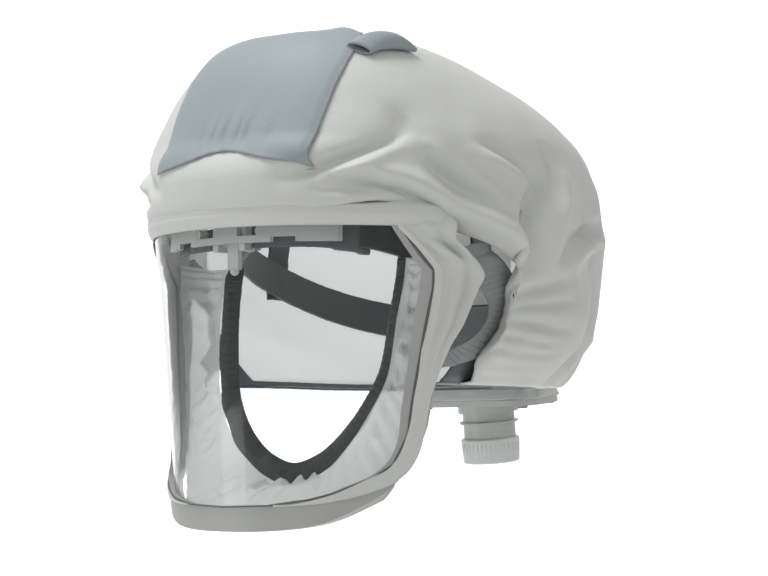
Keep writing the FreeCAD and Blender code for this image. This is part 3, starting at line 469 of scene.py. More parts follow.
# folds: points (turn, level), width, depth (negative goes in), all on the wearer's left
folds = [
    ([(50, 78), (47, 72), (40, 65), (31, 57), (22, 52)], 5.0, -5.2),
    ([(49, 68), (42, 59), (33, 51)], 5.0, 3.4),
    ([(36, 47), (45, 47.5), (54, 43), (62, 35)], 2.2, -2.4),
    ([(56, 66), (61, 58), (68, 48), (76, 38)], 3.2, -2.8),
    ([(58, 72), (64, 63), (72, 53), (80, 43)], 4.0, 2.2),
    ([(53, 88), (47, 80)], 9.0, -3.0),
    ([(30, 45), (43, 44), (54, 39), (61, 32)], 2.6, -2.6),
    ([(34, 51), (46, 49), (53, 45), (61, 35), (66, 28), (75, 17), (84, 6)], 3.6, -6.0),
    ([(42, 55), (50, 53), (57, 49), (64, 41), (70, 34), (78, 25), (85, 15)], 7.0, 4.6),
    ([(74, 74), (80, 70), (85, 64), (90, 54)], 3.5, -3.2),
    ([(72, 68), (79, 63), (85, 56)], 6.0, 3.0),
    ([(91, 57), (87.5, 46), (85.5, 30), (86.5, 8)], 4.2, -7.0),
    ([(96, 60), (93.5, 46), (91.5, 30), (92, 10)], 5.5, 4.5),
    ([(92.5, 78), (93.5, 64), (93.5, 50)], 3.2, -3.0),
    ([(114, 36), (100, 27), (94.5, 12)], 4.0, -4.0),
    ([(116, 28), (102, 19), (96, 6)], 5.0, 3.0),
    ([(80, -12), (88, -8), (97, 0)], 3.4, -3.6),
    ([(81, -19), (90, -16), (101, -12)], 3.0, -3.0),
    ([(81, -26), (90, -27), (101, -29)], 3.0, -3.6),
    ([(80, -34), (88, -36), (98, -38)], 2.6, -3.0),
    ([(79, -42), (88, -43), (99, -44)], 2.6, -3.2),
    ([(78, -50), (88, -50), (98, -50)], 2.4, -2.6),
    ([(104, 44), (112, 20), (116, -4), (114, -30)], 7.0, -3.5),
    ([(126, 60), (132, 30), (134, 0), (130, -36)], 9.0, -3.5),
    ([(142, 84), (148, 50), (150, 10), (146, -30)], 9.0, -3.0),
    ([(120, -60), (124, -44), (130, -30)], 4.0, -3.0),
    ([(134, -60), (138, -46), (142, -34)], 4.0, -3.0),
    ([(148, -60), (150, -48), (155, -36)], 4.0, -2.6),
    ([(108, -60), (111, -48), (114, -38)], 3.6, -3.0),
]


# millimetres round the hood for one degree, how many widths a fold reaches, the far side's share
foldRule = {"perDegree": 2, "reach": 3, "margin": 1.9, "mirrored": 0.8}


def nearestAlong(points, side, level):
    # distance from the fold's line, and how far along the line that is, from 0 to 1
    scale = foldRule["perDegree"]
    line = [(x * scale, z) for x, z in points]
    spans = [math.dist(a, b) for a, b in zip(line, line[1:])]
    best = None
    passed = 0.0
    for (ax, az), (bx, bz), span in zip(line, line[1:], spans):
        px, pz = side * scale - ax, level - az
        dx, dz = bx - ax, bz - az
        t = min(max((px * dx + pz * dz) / (dx * dx + dz * dz), 0), 1)
        away = math.hypot(px - t * dx, pz - t * dz)
        if best is None or away < best[0]:
            best = (away, (passed + t * span) / sum(spans))
        passed += span
    return best


def foldOffset(side, level, mirrored):
    total = 0.0
    for points, wide, deep in folds:
        xs, zs = zip(*points)
        reach = wide * foldRule["reach"]
        margin = reach / foldRule["margin"]
        if side < min(xs) - margin or side > max(xs) + margin:
            continue
        if level < min(zs) - reach or level > max(zs) + reach:
            continue
        away, along = nearestAlong(points, side, level)
        if away > reach:
            continue
        taper = math.sin(math.pi * (0.08 + along * 0.84)) ** 0.6
        shape = math.exp(-(away / wide) ** (2 if deep > 0 else 1.5))
        total += deep * taper * shape * (foldRule["mirrored"] if mirrored else 1)
    return total


def wrinkle(point, turn, level):
    # folds and soft unevenness; the folds fade out where the two sides meet at the back
    side = abs(math.degrees(turn))
    seam = smoothStep(176, 150, side)
    mirrored = turn < 0
    if mirrored:
        # the far side creases in its own way
        side = side + 2.5 * noise.noise(Vector((level * 0.03, 3.1, 0)))
        level = level + 3 * noise.noise(Vector((side * 0.05, 7.7, 0)))
    total = foldOffset(side, level, mirrored)
    soft = noise.noise(point * 0.022 + Vector((5, 2, 9)))
    fine = noise.noise(point * 0.055 + Vector((1, 8, 4)))
    calm = 0.18 + 0.82 * smoothStep(35, 75, side) * smoothStep(130, 70, level)
    ridges = 1 - abs(noise.noise(Vector((side * 0.06, level * 0.016, 4.4 if mirrored else 1.2)))) * 2
    ridge = seam * 2.2 * max(ridges, 0) ** 3 * smoothStep(90, 30, level)
    deepen = seam * (1.5 + 0.9 * smoothStep(98, 112, side))
    return deepen * total + calm * (2.6 * soft + 0.8 * fine + ridge)


frontTrack = curveThrough(hood["front"])


def boundaryAt(share):
    # share 0 at the front centre, 1 at the back centre: turn in degrees and level
    lipShare, edgeShare, edge = hood["lipShare"], hood["edgeShare"], hood["edge"]
    if share < lipShare:
        turn = edge[0][0] * share / lipShare
        return turn, frontTrack(turn)[0]
    if share < edgeShare:
        t = (share - lipShare) / (edgeShare - lipShare) * (len(edge) - 1)
        i = min(int(t), len(edge) - 2)
        t -= i
        a, b = edge[i], edge[i + 1]
        return a[0] + (b[0] - a[0]) * t, a[1] + (b[1] - a[1]) * t
    t = (share - edgeShare) / (1 - edgeShare)
    return hood["rimTurn"] + (180 - hood["rimTurn"]) * t, hood["rim"]


def hoodVertex(share, climb, sign):
    # climb 0 at the lower edge, 1 at the crown
    startTurn, startLevel = boundaryAt(share)
    topTurn = 180 * share
    level = startLevel + (hood["crown"] - startLevel) * (1 - (1 - climb) ** 1.35)
    blend = smoothStep(0, 0.75, climb)
    turn = math.radians(startTurn + (topTurn - startTurn) * blend) * sign
    point = skinPoint(turn, level)
    outward = Vector((point.x, point.y + 10, (level - 60) * 0.9 if level > 60 else 0))
    outward.normalize()
    fade = smoothStep(0.0, 0.05, climb) if startLevel > -50 else 1
    above = level - startLevel
    push = wrinkle(point, turn, level) * (0.35 + 0.65 * fade)
    over = smoothStep(30, 56, startTurn) * (1 - smoothStep(84, 92, startTurn))
    uneven = 0.75 + 0.5 * noise.noise(Vector((startTurn * 0.09, 2.2 * sign, 0)))
    # the cloth swells over the cheek flap and turns in at its edge, at the brow and round the ear
    push += over * uneven * 3.6 * (math.exp(-((above - 10) / 9) ** 2) - math.exp(-(above / 2.6) ** 2))
    front = 1 - smoothStep(20, 34, startTurn)
    push -= front * 2.2 * math.exp(-(above / 2.0) ** 2)
    ear = smoothStep(79, 80.5, startTurn) * (1 - smoothStep(96, 112, startTurn))
    push -= ear * smoothStep(12, -4, startLevel) * 4.5 * math.exp(-(above / 7) ** 2)
    if sign < 0:
        # the far side is quieter beside the brow
        side = abs(math.degrees(turn))
        calm = smoothStep(36, 50, side) * smoothStep(104, 88, side) * smoothStep(96, 78, level)
        push += calm * (-2.2 - 0.75 * push)
    return point + outward * push


def makeHood(s):
    bm = bmesh.new()
    bmesh.ops.create_grid(bm, x_segments=s["columns"], y_segments=s["rows"], size=1)
    for v in bm.verts:
        share = v.co.x  # -1 right back, 0 front, 1 left back
        climb = (v.co.y + 1) / 2
        sign = 1 if share >= 0 else -1
        v.co = hoodVertex(abs(share), climb, sign) * mm
    # the floor: the rim turns in under the hood
    live = [e for e in bm.edges if e.is_boundary
            and all(abs(v.co.z / mm - s["rim"]) < s["rimNear"] for v in e.verts)]
    middle = s["middle"]
    for shrink, drop in s["floorSteps"]:
        grown = bmesh.ops.extrude_edge_only(bm, edges=live)["geom"]
        verts = {g for g in grown if isinstance(g, bmesh.types.BMVert)}
        live = [g for g in grown if isinstance(g, bmesh.types.BMEdge) and g.is_boundary
                and all(v in verts for v in g.verts)]
        for v in verts:
            y = (v.co.y - middle) * shrink + middle
            v.co = Vector((v.co.x * shrink, y, (s["rim"] + drop) * mm))
    bmesh.ops.remove_doubles(bm, verts=bm.verts, dist=weld)
    bmesh.ops.recalc_face_normals(bm, faces=bm.faces)
    obj = newObject("hoodCloth", bm, hoodMat)
    solid = obj.modifiers.new("clothThickness", "SOLIDIFY")
    solid.thickness = s["thick"] * mm
    solid.offset = -1
    return obj


hoodCloth = makeHood(hood)
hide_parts("hood_side_left", "hood_side_right", "brow_roll")
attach(hoodCloth, "hood")
print("hood cloth", len(hoodCloth.data.polygons), sum(p.area for p in hoodCloth.data.polygons))


def gridPiece(name, columns, rows, place, material, thick=0.0, wrap=False):
    # a sheet of columns by rows cells; place(u, v) gives millimetres for u and v from 0 to 1
    bm = bmesh.new()
    bmesh.ops.create_grid(bm, x_segments=columns, y_segments=rows, size=1)
    uvs = bm.loops.layers.uv.new("cloth")
    at = {v: ((v.co.x + 1) / 2, (v.co.y + 1) / 2) for v in bm.verts}
    for f in bm.faces:
        for loop in f.loops:
            loop[uvs].uv = at[loop.vert]
    for v in bm.verts:
        v.co = Vector(place(*at[v])) * mm
    if wrap:
        bmesh.ops.remove_doubles(bm, verts=bm.verts, dist=weld)
    bmesh.ops.recalc_face_normals(bm, faces=bm.faces)
    area = sum(f.calc_area() for f in bm.faces)
    obj = newObject(name, bm, material)
    if thick:
        solid = obj.modifiers.new("thickness", "SOLIDIFY")
        solid.thickness = thick * mm
        solid.offset = 0
    print(name, "area", round(area, 5))
    return obj


def settle(obj, slot, *nodes):
    # hides the CAD nodes a piece stands for and puts the piece on the hood body; the slot argument is
    # not used
    if nodes:
        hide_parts(*nodes)
    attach(obj, "hood")


def ringAt(level, angle, grow):
    # a point on the clear sheet, moved outwards by grow
    share = (visorCone["top"] - level) / visorCone["high"]
    radius = visorCone["radius"] - visorCone["taper"] * share + grow
    y = visorCone["centre"] - visorCone["lean"] * share - radius * math.cos(angle)
    return Vector((radius * math.sin(angle), y, level))


def trackAlong(points):
    # evenly walked smooth line through points; at(0..1) gives the place
    spans = [0.0]
    for a, b in zip(points, points[1:]):
        spans.append(spans[-1] + math.dist(a, b))
    rows = [(d / spans[-1], *p) for d, p in zip(spans, points)]
    return curveThrough(rows)


def wave(seed, *values):
    # smooth noise from -1 to 1, of one or two values
    return noise.noise(Vector((*values, 0, 0)[:3]) + Vector((seed * 7.3, seed * 1.9, seed * 3.1)))


skin = BVHTree.FromObject(hoodCloth, bpy.context.evaluated_depsgraph_get())


def onSkin(start, direction, proud):
    # last crossing of the hood along a line, in millimetres
    direction = Vector(direction).normalized()
    origin = Vector(start) * mm
    hit = skin.ray_cast(origin + direction * 0.6, -direction)
    if hit[0] is None:
        return origin / mm + direction * 100
    return hit[0] / mm + direction * proud


# crown panel: a tapered patch sewn over the front of the crown

crown = {
    "shift": 7, "half": (53, 54, 55, 55, 53), "low": 11, "high": 92, "proud": 1.6, "dimple": 1.9,
    # the point from which the patch is thrown out onto the hood
    "from": (-46, 46),
    # short gathers along the front edge: place, width, depth
    "dents": ((-0.42, 0.05, 0.8), (-0.24, 0.035, 1.0), (-0.08, 0.05, 1.2), (0.1, 0.03, 0.9),
              (0.22, 0.06, 1.3), (0.5, 0.05, 0.7)),
}


def crownPlace(u, v):
    side = 2 * u - 1
    track = crown["half"]
    spot = v * (len(track) - 1)
    i = min(int(spot), len(track) - 2)
    half = track[i] + (track[i + 1] - track[i]) * (spot - i)
    low = crown["low"] - 4.0 * side ** 4 + 1.4 * math.cos(side * 5)
    lift = math.radians(low + (crown["high"] - 31 * side ** 2 - low) * v)
    x = half * side
    edge = min(1 - abs(side), v, 1 - v)
    proud = crown["proud"] * (0.55 + 0.45 * smoothStep(0, 0.09, edge))
    proud += 0.25 * wave(3, x * 0.04, v * 5)
    near = math.exp(-((v - 0.09) / 0.10) ** 2)
    dents = 0.0
    for centre, wide, deep in crown["dents"]:
        dents += deep * math.exp(-((side - centre - 0.3 * (v - 0.05)) / wide) ** 2)
    proud += crown["dimple"] * near * (0.5 - 0.6 * dents)
    pull = math.exp(-((v - 0.86) / 0.09) ** 2) * math.exp(-((side - 0.55 - (v - 0.86)) / 0.16) ** 2)
    proud += 2.2 * pull
    start = (x + crown["shift"], *crown["from"])
    return onSkin(start, (0, -math.cos(lift), math.sin(lift)), max(proud, 0.5))


crownPatch = gridPiece("crownPatch", 110, 130, crownPlace, blueMat, 1.1)
settle(crownPatch, "blue_cloth", "crown_panel")


# the loose loop behind the crown patch

loop = {
    "start": (56, -88), "end": (68, -54), "wide": 7.0, "high": 9.0, "from": 60, "drop": (0.10, -0.12, 1),
    "across": (-0.8, -0.35, 0.30), "lift": (0.25, -0.15, 1),
}


def foldPlace(u, v):
    # u round the loop, v along it
    turn = 2 * math.pi * u
    a, b = loop["start"], loop["end"]
    start = (a[0] + (b[0] - a[0]) * v, a[1] + (b[1] - a[1]) * v, loop["from"])
    base = onSkin(start, loop["drop"], 1.0)
    across = Vector(loop["across"]).normalized()
    lift = Vector(loop["lift"]).normalized()
    wide = loop["wide"] * (1 - 0.55 * v ** 2)
    high = loop["high"] * math.sin(math.pi * (0.10 + 0.84 * v)) ** 0.7
    c, s = math.cos(turn), math.sin(turn)
    up = (0.5 + 0.5 * s) ** (0.8 if s > 0 else 1.3)
    return base + across * (wide * c) + lift * (high * up) + lift * (0.4 * wave(5, u * 3, v * 4))


crownLoop = gridPiece("crownLoop", 40, 30, foldPlace, blueMat, 0.9, wrap=True)
settle(crownLoop, "blue_cloth", "crown_fold")


# brow band: the rolled lip of the hood along the top of the visor

brow = {"low": 25.2, "high": 56, "proud": 1.9, "reach": 80}


def browPlace(u, v):
    # u round from the right temple to the left one, v upwards
    side = 2 * u - 1
    angle = math.radians(brow["reach"]) * side
    level = brow["low"] + (brow["high"] - brow["low"]) * v
    rise = level - brow["low"]
    proud = brow["proud"] + 1.5 * smoothStep(0, 7, rise) - 0.9 * math.exp(-(rise / 1.4) ** 2)
    proud += 2.6 * smoothStep(48, 66, abs(math.degrees(angle)))
    proud -= 5.5 * smoothStep(9.5, 15, rise)
    proud -= 0.7 * math.exp(-((rise - 8.2) / 0.8) ** 2)
    tick = math.exp(-((math.degrees(angle) - 15) / 0.7) ** 2) * smoothStep(8, 11, rise)
    proud -= 1.2 * tick
    proud += 0.35 * wave(7, side * 7, level * 0.06)
    return ringAt(level, angle, proud)


browBand = gridPiece("browBand", 260, 26, browPlace, hoodMat, 1.2)
settle(browBand, "hood_cloth")


# cheek flaps: cloth that runs down over each visor side and hangs free at the back

cheek = {
    # level, turn of the front edge and of the back edge round the visor, how far the back stands off
    "rows": [
        (52, 60, 79, 7), (40, 60, 79, 7), (33, 58.5, 77, 6), (25, 58.3, 76.5, 5), (19, 61.5, 77, 4),
        (12, 65.5, 82, 5), (6, 68.6, 87, 5), (1, 71, 88, 5), (-6, 71.3, 87.5, 4.6), (-16, 70.8, 85.5, 4),
        (-30, 69.7, 82, 3.4), (-38, 68.8, 79, 2.6), (-45, 68, 77, 2), (-58, 67.4, 74, 1.5),
        (-70, 66.3, 72, 0.8), (-85, 65.4, 71, 0.4), (-100, 62.8, 69.3, 0.2), (-110, 58.8, 66.6, 0),
        (-118, 49, 61, 0), (-124, 41, 52, 0), (-128, 33, 42, 0), (-130.6, 24, 29, 0),
        (-131.2, 19, 20, 0),
    ],
    "proud": 4.4, "least": 3.5, "top": 52, "drop": 183.2,
    # long soft creases that fall from the brow to the chin: place, slope, width, depth
    "creases": ((0.30, 0.50, 0.09, -2.2), (0.52, 0.30, 0.10, 2.0), (0.70, 0.05, 0.08, -2.6),
                (0.88, -0.15, 0.07, 1.6), (0.16, 0.35, 0.06, 1.0)),
}
cheekRow = curveThrough([(-r[0],) + r[1:] for r in cheek["rows"]])


def cheekPlace(sign):
    def place(u, v):
        level = cheek["top"] - cheek["drop"] * (v + 0.05 * v * (1 - v))
        front, back, off = cheekRow(-level)
        turn = math.radians(front + (back - front) * u)
        band = math.exp(-((level - 2) / 42) ** 2)
        proud = cheek["proud"] - 1.1 * math.exp(-(u / 0.06) ** 2) - 0.9 * smoothStep(-95, -120, level)
        proud += off * smoothStep(0.35, 1.0, u)
        for centre, slope, wide, deep in cheek["creases"]:
            proud += deep * math.exp(-((u - centre - slope * (v - 0.36)) / wide) ** 2) * band
        # one slanting fold below the brow band, with a hollow above it
        slant = level + 26 * u
        proud += 2.2 * math.exp(-((slant - 22) / 4.0) ** 2) * smoothStep(0.1, 0.5, u)
        proud -= 1.6 * math.exp(-((slant - 32) / 4.0) ** 2)
        proud -= 2.4 * smoothStep(0.9, 1.0, u) * band
        proud += 0.5 * wave(sign + 4, level * 0.05, u * 3)
        tuck = 9 * smoothStep(25, 38, level)
        point = ringAt(level, turn, max(proud, cheek["least"]) - tuck)
        point.x *= sign
        return point
    return place


for side, sign in (("left", 1), ("right", -1)):
    flap = gridPiece("cheekFlap_" + side, 48, 170, cheekPlace(sign), hoodMat, 1.2)
    settle(flap, "hood_cloth", "cheek_flap_" + side)


# a thin dark strip laid along the visor edge, between the cloth and the clear sheet

edgeStrip = {
    "wide": 0.7, "proud": 3.7, "middle": -60,
    # half width and level, from the temple down to the chin
    "path": [(91.8, 25), (95.5, 12), (99.0, 1), (98.4, -8), (95.2, -30), (92.2, -52), (89, -75),
             (87, -92), (82, -108), (76, -115), (68.5, -119.5), (60, -124), (49, -127.5), (28, -131),
             (0, -132)],
}
edgeStripPath = edgeStrip["path"] + [(-x, z) for x, z in reversed(edgeStrip["path"][:-1])]


def edgeStripPlace(u, v):
    spot = v * (len(edgeStripPath) - 1)
    i = min(int(spot), len(edgeStripPath) - 2)
    t = spot - i
    a, b = edgeStripPath[i], edgeStripPath[i + 1]
    x = a[0] + (b[0] - a[0]) * t
    level = a[1] + (b[1] - a[1]) * t
    inward = Vector((-x, 0, edgeStrip["middle"] - level)).normalized() * (edgeStrip["wide"] * (u - 0.5))
    reach = visorCone["radius"] - visorCone["taper"] * (visorCone["top"] - level) / visorCone["high"]
    turn = math.asin(max(min((x + inward.x) / reach, 1), -1))
    return ringAt(level + inward.z, turn, edgeStrip["proud"] - 0.5 * abs(2 * u - 1))


edgeLine = gridPiece("edgeLine", 4, 420, edgeStripPlace, lineMat, 0.4)
settle(edgeLine, "ring_rubber")


# ear bands: a broad elastic band that draws the cloth in round each ear

ear = {
    # turn and level of both edges
    "inner": [(66, 10), (69, 2), (73, -5), (77, -10), (79.2, -17), (79.5, -23.5), (78.3, -31),
              (75.8, -38), (73, -42), (71, -44.5), (69, -46)],
    "outer": [(76, 20), (80, 12), (84.5, 4), (87, -4), (88.5, -14), (89, -25), (88, -35), (85, -43),
              (81, -48), (76, -51.5), (72, -53)],
    "deep": 9.0,
}


def spotLine(points):
    # smooth line with its points at even shares; at(0..1) gives the place
    rows = [(i / (len(points) - 1), *p) for i, p in enumerate(points)]
    return curveThrough(rows)


innerEar, outerEar = spotLine(ear["inner"]), spotLine(ear["outer"])


def earPlace(sign):
    def place(u, v):
        a, b = innerEar(v), outerEar(v)
        turn = a[0] + (b[0] - a[0]) * u
        level = a[1] + (b[1] - a[1]) * u
        point = sectionPoint(math.radians(turn), level)
        deep = ear["deep"] + (1 - u) + 1.5 * smoothStep(0.6, 1.0, v)
        rib = 0.35 * math.sin(v * 150) * smoothStep(0, 0.2, u) * smoothStep(0, 0.2, 1 - u)
        gather = 0.9 * math.sin(v * 46 + 2 * math.sin(v * 13)) * smoothStep(0.45, 1, u)
        point.x -= deep - rib - gather
        point.x *= sign
        return point
    return place


for side, sign in (("left", 1), ("right", -1)):
    band = gridPiece("earBand_" + side, 18, 240, earPlace(sign), bandMat, 1.4)
    settle(band, "elastic", "ear_hem_" + side)


# neck cloth: the blue panel at the nape, with wings that come forward under the ears

nape = {
    "span": 106, "low": -61.0, "high": -57, "wingRise": 17.0, "inward": 7.5, "wingInward": 6.5,
    "middle": 20,
    # from this share down the cloth turns in under the hood
    "turnIn": 0.625,
}


def napePlace(u, v):
    # u across from the right wing to the left one, v from the upper edge to the plate
    side = 2 * u - 1
    far = abs(side)
    turn = math.radians(180 - nape["span"] * far) * (1 if side > 0 else -1)
    low, turnIn = nape["low"], nape["turnIn"]
    wing = smoothStep(0.55, 0.85, far)
    high = nape["high"] + nape["wingRise"] * wing
    if far > 0.86:
        high -= 9 * ((far - 0.86) / 0.14) ** 1.5
    level = high + (low - high) * min(v / turnIn, 1)
    point = sectionPoint(turn, max(level, -60))
    inward = nape["inward"] + nape["wingInward"] * wing
    inward += 0.7 * wave(2, side * 9, v * 3) + 0.6 * math.sin(far * 70) * wing
    flat = Vector((point.x, point.y - nape["middle"], 0))
    shrink = (flat.length - inward) / flat.length
    past = max(v - turnIn, 0)
    shrink *= 1 - (0.36 - 0.16 * wing) * past / (1 - turnIn)
    return Vector((flat.x * shrink, flat.y * shrink + nape["middle"], level - 0.6 * past))


neckCloth = gridPiece("neckCloth", 200, 30, napePlace, napeMat, 0.9)
settle(neckCloth, "blue_cloth", "nape_panel")


# lining: thin white cloth inside the sides and back; a weak emission on it is painted light that
# brightens the shaded inside of the hood

lining = {"from": 88, "to": 286, "low": -57, "high": 118, "inset": 12, "middle": 10, "paintedGlow": 0.34}


def liningPlace(u, v):
    turn = math.radians(lining["from"] + (lining["to"] - lining["from"]) * u)
    level = lining["low"] + (lining["high"] - lining["low"]) * v
    point = sectionPoint(turn if turn < math.pi else turn - 2 * math.pi, level)
    # further in near the rim, at both ends and under the crown
    inset = lining["inset"] + 11 * smoothStep(-20, -57, level) + 1.2 * wave(15, u * 9, v * 4)
    inset += 7 * smoothStep(0.12, 0, min(u, 1 - u)) + 3 * smoothStep(60, 110, level)
    flat = Vector((point.x, point.y - lining["middle"], 0))
    flat *= (flat.length - inset) / flat.length
    return Vector((flat.x, flat.y + lining["middle"], level))


liningMat = clothMaterial("liningCloth", (240, 241, 240), (232, 233, 232), 2600, 0.08)
liningShader = liningMat.node_tree.nodes["Principled BSDF"]
# painted light: the lining glows a little to brighten the shaded inside of the hood
liningShader.inputs["Emission Color"].default_value = (1, 1, 1, 1)
liningShader.inputs["Emission Strength"].default_value = lining["paintedGlow"]
hoodLining = gridPiece("hoodLining", 160, 60, liningPlace, liningMat, 0.5)
settle(hoodLining, "hood_cloth")


# skirt: the cloth gripped between the inlet plate and its clamp

skirt = {"half": (49.2, 21.8), "plate": (118, -66), "tilt": 0.1228, "top": -58.5}


def skirtPlace(u, v):
    turn = 2 * math.pi * u
    c, q = math.cos(turn), math.sin(turn)
    x = skirt["half"][0] * math.copysign(abs(c) ** 0.45, c)
    y = skirt["half"][1] * math.copysign(abs(q) ** 0.5, q)
    middle, floor = skirt["plate"]
    low = floor + skirt["tilt"] * y + 0.2
    level = low + (skirt["top"] - low) * v
    draw = 1 - 0.06 * v
    return Vector((x * draw, middle + y * draw, level))


plateSkirt = gridPiece("plateSkirt", 160, 10, skirtPlace, hoodMat, 0.8, wrap=True)
settle(plateSkirt, "hood_cloth")


# face seal: thin pleated cloth from the visor frame in to the elastic, and the elastic itself

seal = {
    # left half of each line, from the temple to the chin
    "outer": [(98, -72, 14), (98.5, -71, 0), (94.5, -72, -30), (88, -76, -75), (81, -84, -104),
              (66, -99, -122), (40, -122, -131), (0, -131.5, -135)],
    "loop": [(69, -60, 11), (69.5, -62, 0), (68, -68, -28), (65, -71, -55), (55, -77, -80),
             (39, -80, -101), (22, -80, -114), (0, -80, -120)],
    "inner": [(60, -56, 11), (60, -58, 0), (58, -63, -28), (55, -66, -52), (46, -71.5, -74),
              (31, -75, -93), (17, -75.5, -103), (0, -76, -108)],
    "pleats": 34, "pleatDeep": (3.2, 1.8), "crushDeep": (6.0, 5.0), "belly": 4.2,
}


def bothWays(points):
    return spotLine(points + [(-x, y, z) for x, y, z in reversed(points[:-1])])


sealOuter, sealLoop, sealInner = bothWays(seal["outer"]), bothWays(seal["loop"]), bothWays(seal["inner"])


def sealPlace(u, v):
    a, b = Vector(sealOuter(v)), Vector(sealLoop(v))
    point = a.lerp(b, u)
    outward = Vector((point.x, 0, point.z + 40))
    if outward.length < 1:
        outward = Vector((0, 0, -1))
    outward.normalize()
    normal = (outward + Vector((0, -0.8, 0))).normalized()
    # pleats and crushed cloth, deeper at the chin, dying out towards the elastic
    bow = math.sin(math.pi * u)
    chin = math.exp(-((v - 0.5) / 0.2) ** 2)
    ending = smoothStep(1, 0.6, u)
    phase = v * seal["pleats"] * 2 * math.pi
    pleat = math.sin(phase + 1.7 * wave(1, v * 14, 0.5)) * (0.6 + 0.7 * abs(wave(6, v * 20, u)))
    pleat *= (seal["pleatDeep"][0] + seal["pleatDeep"][1] * chin) * 0.8
    pleat *= math.sin(math.pi * min(u * 1.1 + 0.02, 1)) ** 0.7
    crush = wave(8, v * 26, u * 2.2) + 0.55 * wave(9, v * 60, u * 6)
    crush *= (seal["crushDeep"][0] + seal["crushDeep"][1] * chin) * bow * (0.30 if v in (0, 1) else 1)
    return point + normal * ((pleat + crush) * ending - seal["belly"] * bow)


faceSeal = gridPiece("faceSeal", 40, 420, sealPlace, sealMat, 0.0)
settle(faceSeal, "seal_cloth", "face_seal_left", "face_seal_right", "face_seal_chin")


def elasticPlace(u, v):
    a, b = Vector(sealLoop(v)), Vector(sealInner(v))
    point = a.lerp(b, u)
    rib = 0.32 * math.sin(v * 520) * (0.4 + 0.6 * math.sin(math.pi * u))
    roll = 1.6 * math.cos(math.pi * (u - 0.5) * 1.6)
    gather = 0.9 * math.sin(v * 62 + 1.5 * math.sin(v * 17)) * (1 - u)
    point.y -= 2.2 * math.exp(-((v - 0.5) / 0.16) ** 2) + roll + rib + gather
    return point


faceBand = gridPiece("faceBand", 12, 560, elasticPlace, elasticMat, 1.6)
settle(faceBand, "elastic", "face_elastic")


# brow strips: cloth bands inside the visor carrier, one each side of the catch

browStrip = {"turn": 9, "span": 39.5, "low": 14.3, "high": 12.4, "radius": 90.7}


def stripPlace(sign):
    def place(u, v):
        angle = math.radians(browStrip["turn"] + browStrip["span"] * v) * sign
        radius = browStrip["radius"] + 0.25 * math.sin(v * 40) + 0.5 * math.sin(math.pi * u)
        y = visorCone["centre"] - radius * math.cos(angle)
        return Vector((radius * math.sin(angle), y, browStrip["low"] + browStrip["high"] * u))
    return place


for side, sign in (("left", 1), ("right", -1)):
    strip = gridPiece("browStrip_" + side, 10, 90, stripPlace(sign), browMat, 1.6)
    settle(strip, "brow_cloth", *(["brow_strip"] if sign > 0 else []))


# crown strap: webbing over the head, laid on the CAD strap's own line

def nodeSkin(node):
    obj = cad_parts[node]
    return BVHTree.FromObject(obj, bpy.context.evaluated_depsgraph_get()), obj.matrix_world.copy()


strap = {"half": 9.6, "ends": 0.012, "above": 2, "proud": 0.8}
strapSkin, strapMatrix = nodeSkin("crown_strap")
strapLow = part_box("crown_strap")[0][2] / mm
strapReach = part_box("crown_strap")[1][0] / mm


def strapPlace(u, v):
    # u across the strap, v over the head from ear to ear
    angle = math.pi * (strap["ends"] + (1 - 2 * strap["ends"]) * v)
    start = Vector((0, strap["half"] * (2 * u - 1), strapLow + strap["above"]))
    aim = Vector((math.cos(angle), 0, math.sin(angle)))
    hit = strapSkin.ray_cast(strapMatrix.inverted() @ (start * mm), aim)
    rib = 0.18 * math.sin(u * 60) * math.sin(math.pi * u)
    if hit[0] is None:
        return start + aim * strapReach
    return (strapMatrix @ hit[0]) / mm + aim * (strap["proud"] + rib)


crownWeb = gridPiece("crownWeb", 22, 200, strapPlace, webMat, 1.4)
settle(crownWeb, "strap_web", "crown_strap")


# air baffle: the cloth under the rear and crown that carries the air forward

baffle = {
    "half": 30.6, "middle": (10, 20),
    # depth and level, from the inlet to the brow
    "run": [(128, -50), (130, -20), (130, 14), (123, 52), (98, 80), (58, 103), (18, 119), (-25, 129),
            (-60, 131)],
}
baffleLine = trackAlong(baffle["run"])


def bafflePlace(u, v):
    y, z = baffleLine(v)
    side = 2 * u - 1
    sag = 0.8 * wave(12, side * 2, v * 9) + 0.5 * math.sin(v * 40 + side * 2)
    aim = Vector((0, y - baffle["middle"][0], z - baffle["middle"][1])).normalized()
    return Vector((baffle["half"] * side, y, z)) + aim * (sag - 0.6 * side ** 2)


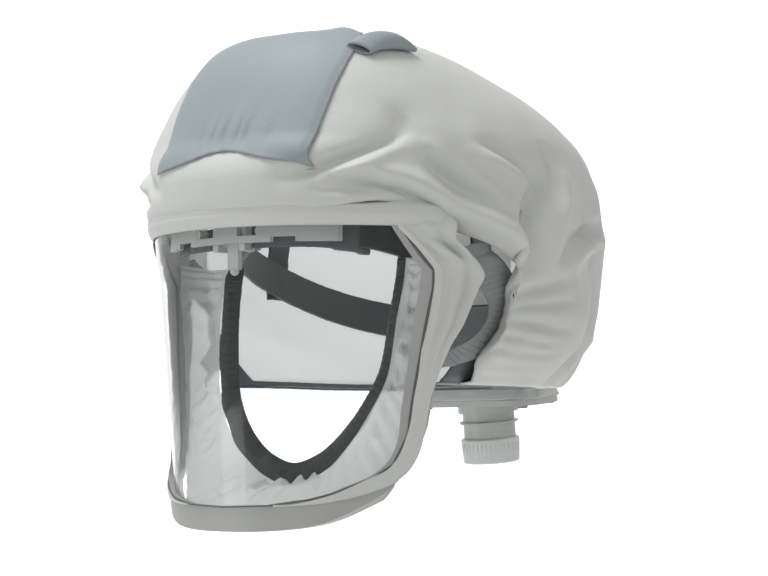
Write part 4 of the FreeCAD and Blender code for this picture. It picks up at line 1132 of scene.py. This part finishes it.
airBaffle = gridPiece("airBaffle", 30, 150, bafflePlace, hoodMat, 1.0)
settle(airBaffle, "hood_cloth", "air_baffle")


# pads: the CAD foam shapes, puffed up as soft knitted pads

pads = {
    "nodes": ("brow_pad", "nape_pad", "crown_pad"),
    # metres, pressure, kilograms, frames; no point moves further than the cap
    "voxel": 0.0022, "pressure": 4, "mass": 0.15, "frames": 20, "cap": 0.0009,
}


def puffPad(node, name):
    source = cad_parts[node]
    mesh = source.data.copy()
    mesh.transform(source.matrix_world)
    mesh.materials.clear()
    mesh.materials.append(padMat)
    pad = bpy.data.objects.new(name, mesh)
    scene.collection.objects.link(pad)
    remesh = pad.modifiers.new("even", "REMESH")
    remesh.mode = "VOXEL"
    remesh.voxel_size = pads["voxel"]
    bake(pad)
    before = [v.co.copy() for v in pad.data.vertices]
    cloth = pad.modifiers.new("puff", "CLOTH")
    cloth.settings.use_pressure = True
    cloth.settings.uniform_pressure_force = pads["pressure"]
    cloth.settings.effector_weights.gravity = 0
    cloth.settings.mass = pads["mass"]
    for step in range(pads["frames"]):
        scene.frame_set(step + 1)
    bake(pad)
    scene.frame_set(1)
    for v, old in zip(pad.data.vertices, before):
        move = v.co - old
        if move.length > pads["cap"]:
            v.co = old + move.normalized() * pads["cap"]
    pad.data.polygons.foreach_set("use_smooth", [True] * len(pad.data.polygons))
    smooth = pad.modifiers.new("smooth", "SUBSURF")
    smooth.levels = smooth.render_levels = 1
    print(name, "faces", len(pad.data.polygons))
    return pad


def bake(obj):
    graph = bpy.context.evaluated_depsgraph_get()
    made = bpy.data.meshes.new_from_object(obj.evaluated_get(graph), depsgraph=graph)
    old = obj.data
    obj.modifiers.clear()
    obj.data = made
    if old.users == 0:
        bpy.data.meshes.remove(old)


for node in pads["nodes"]:
    pad = puffPad(node, node.replace("_pad", "Pad"))
    settle(pad, "pad_foam", node)


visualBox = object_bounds()
for label, box in (("cad", cadBox), ("visual", visualBox)):
    print(label, [[round(x, 4) for x in c] for c in box])
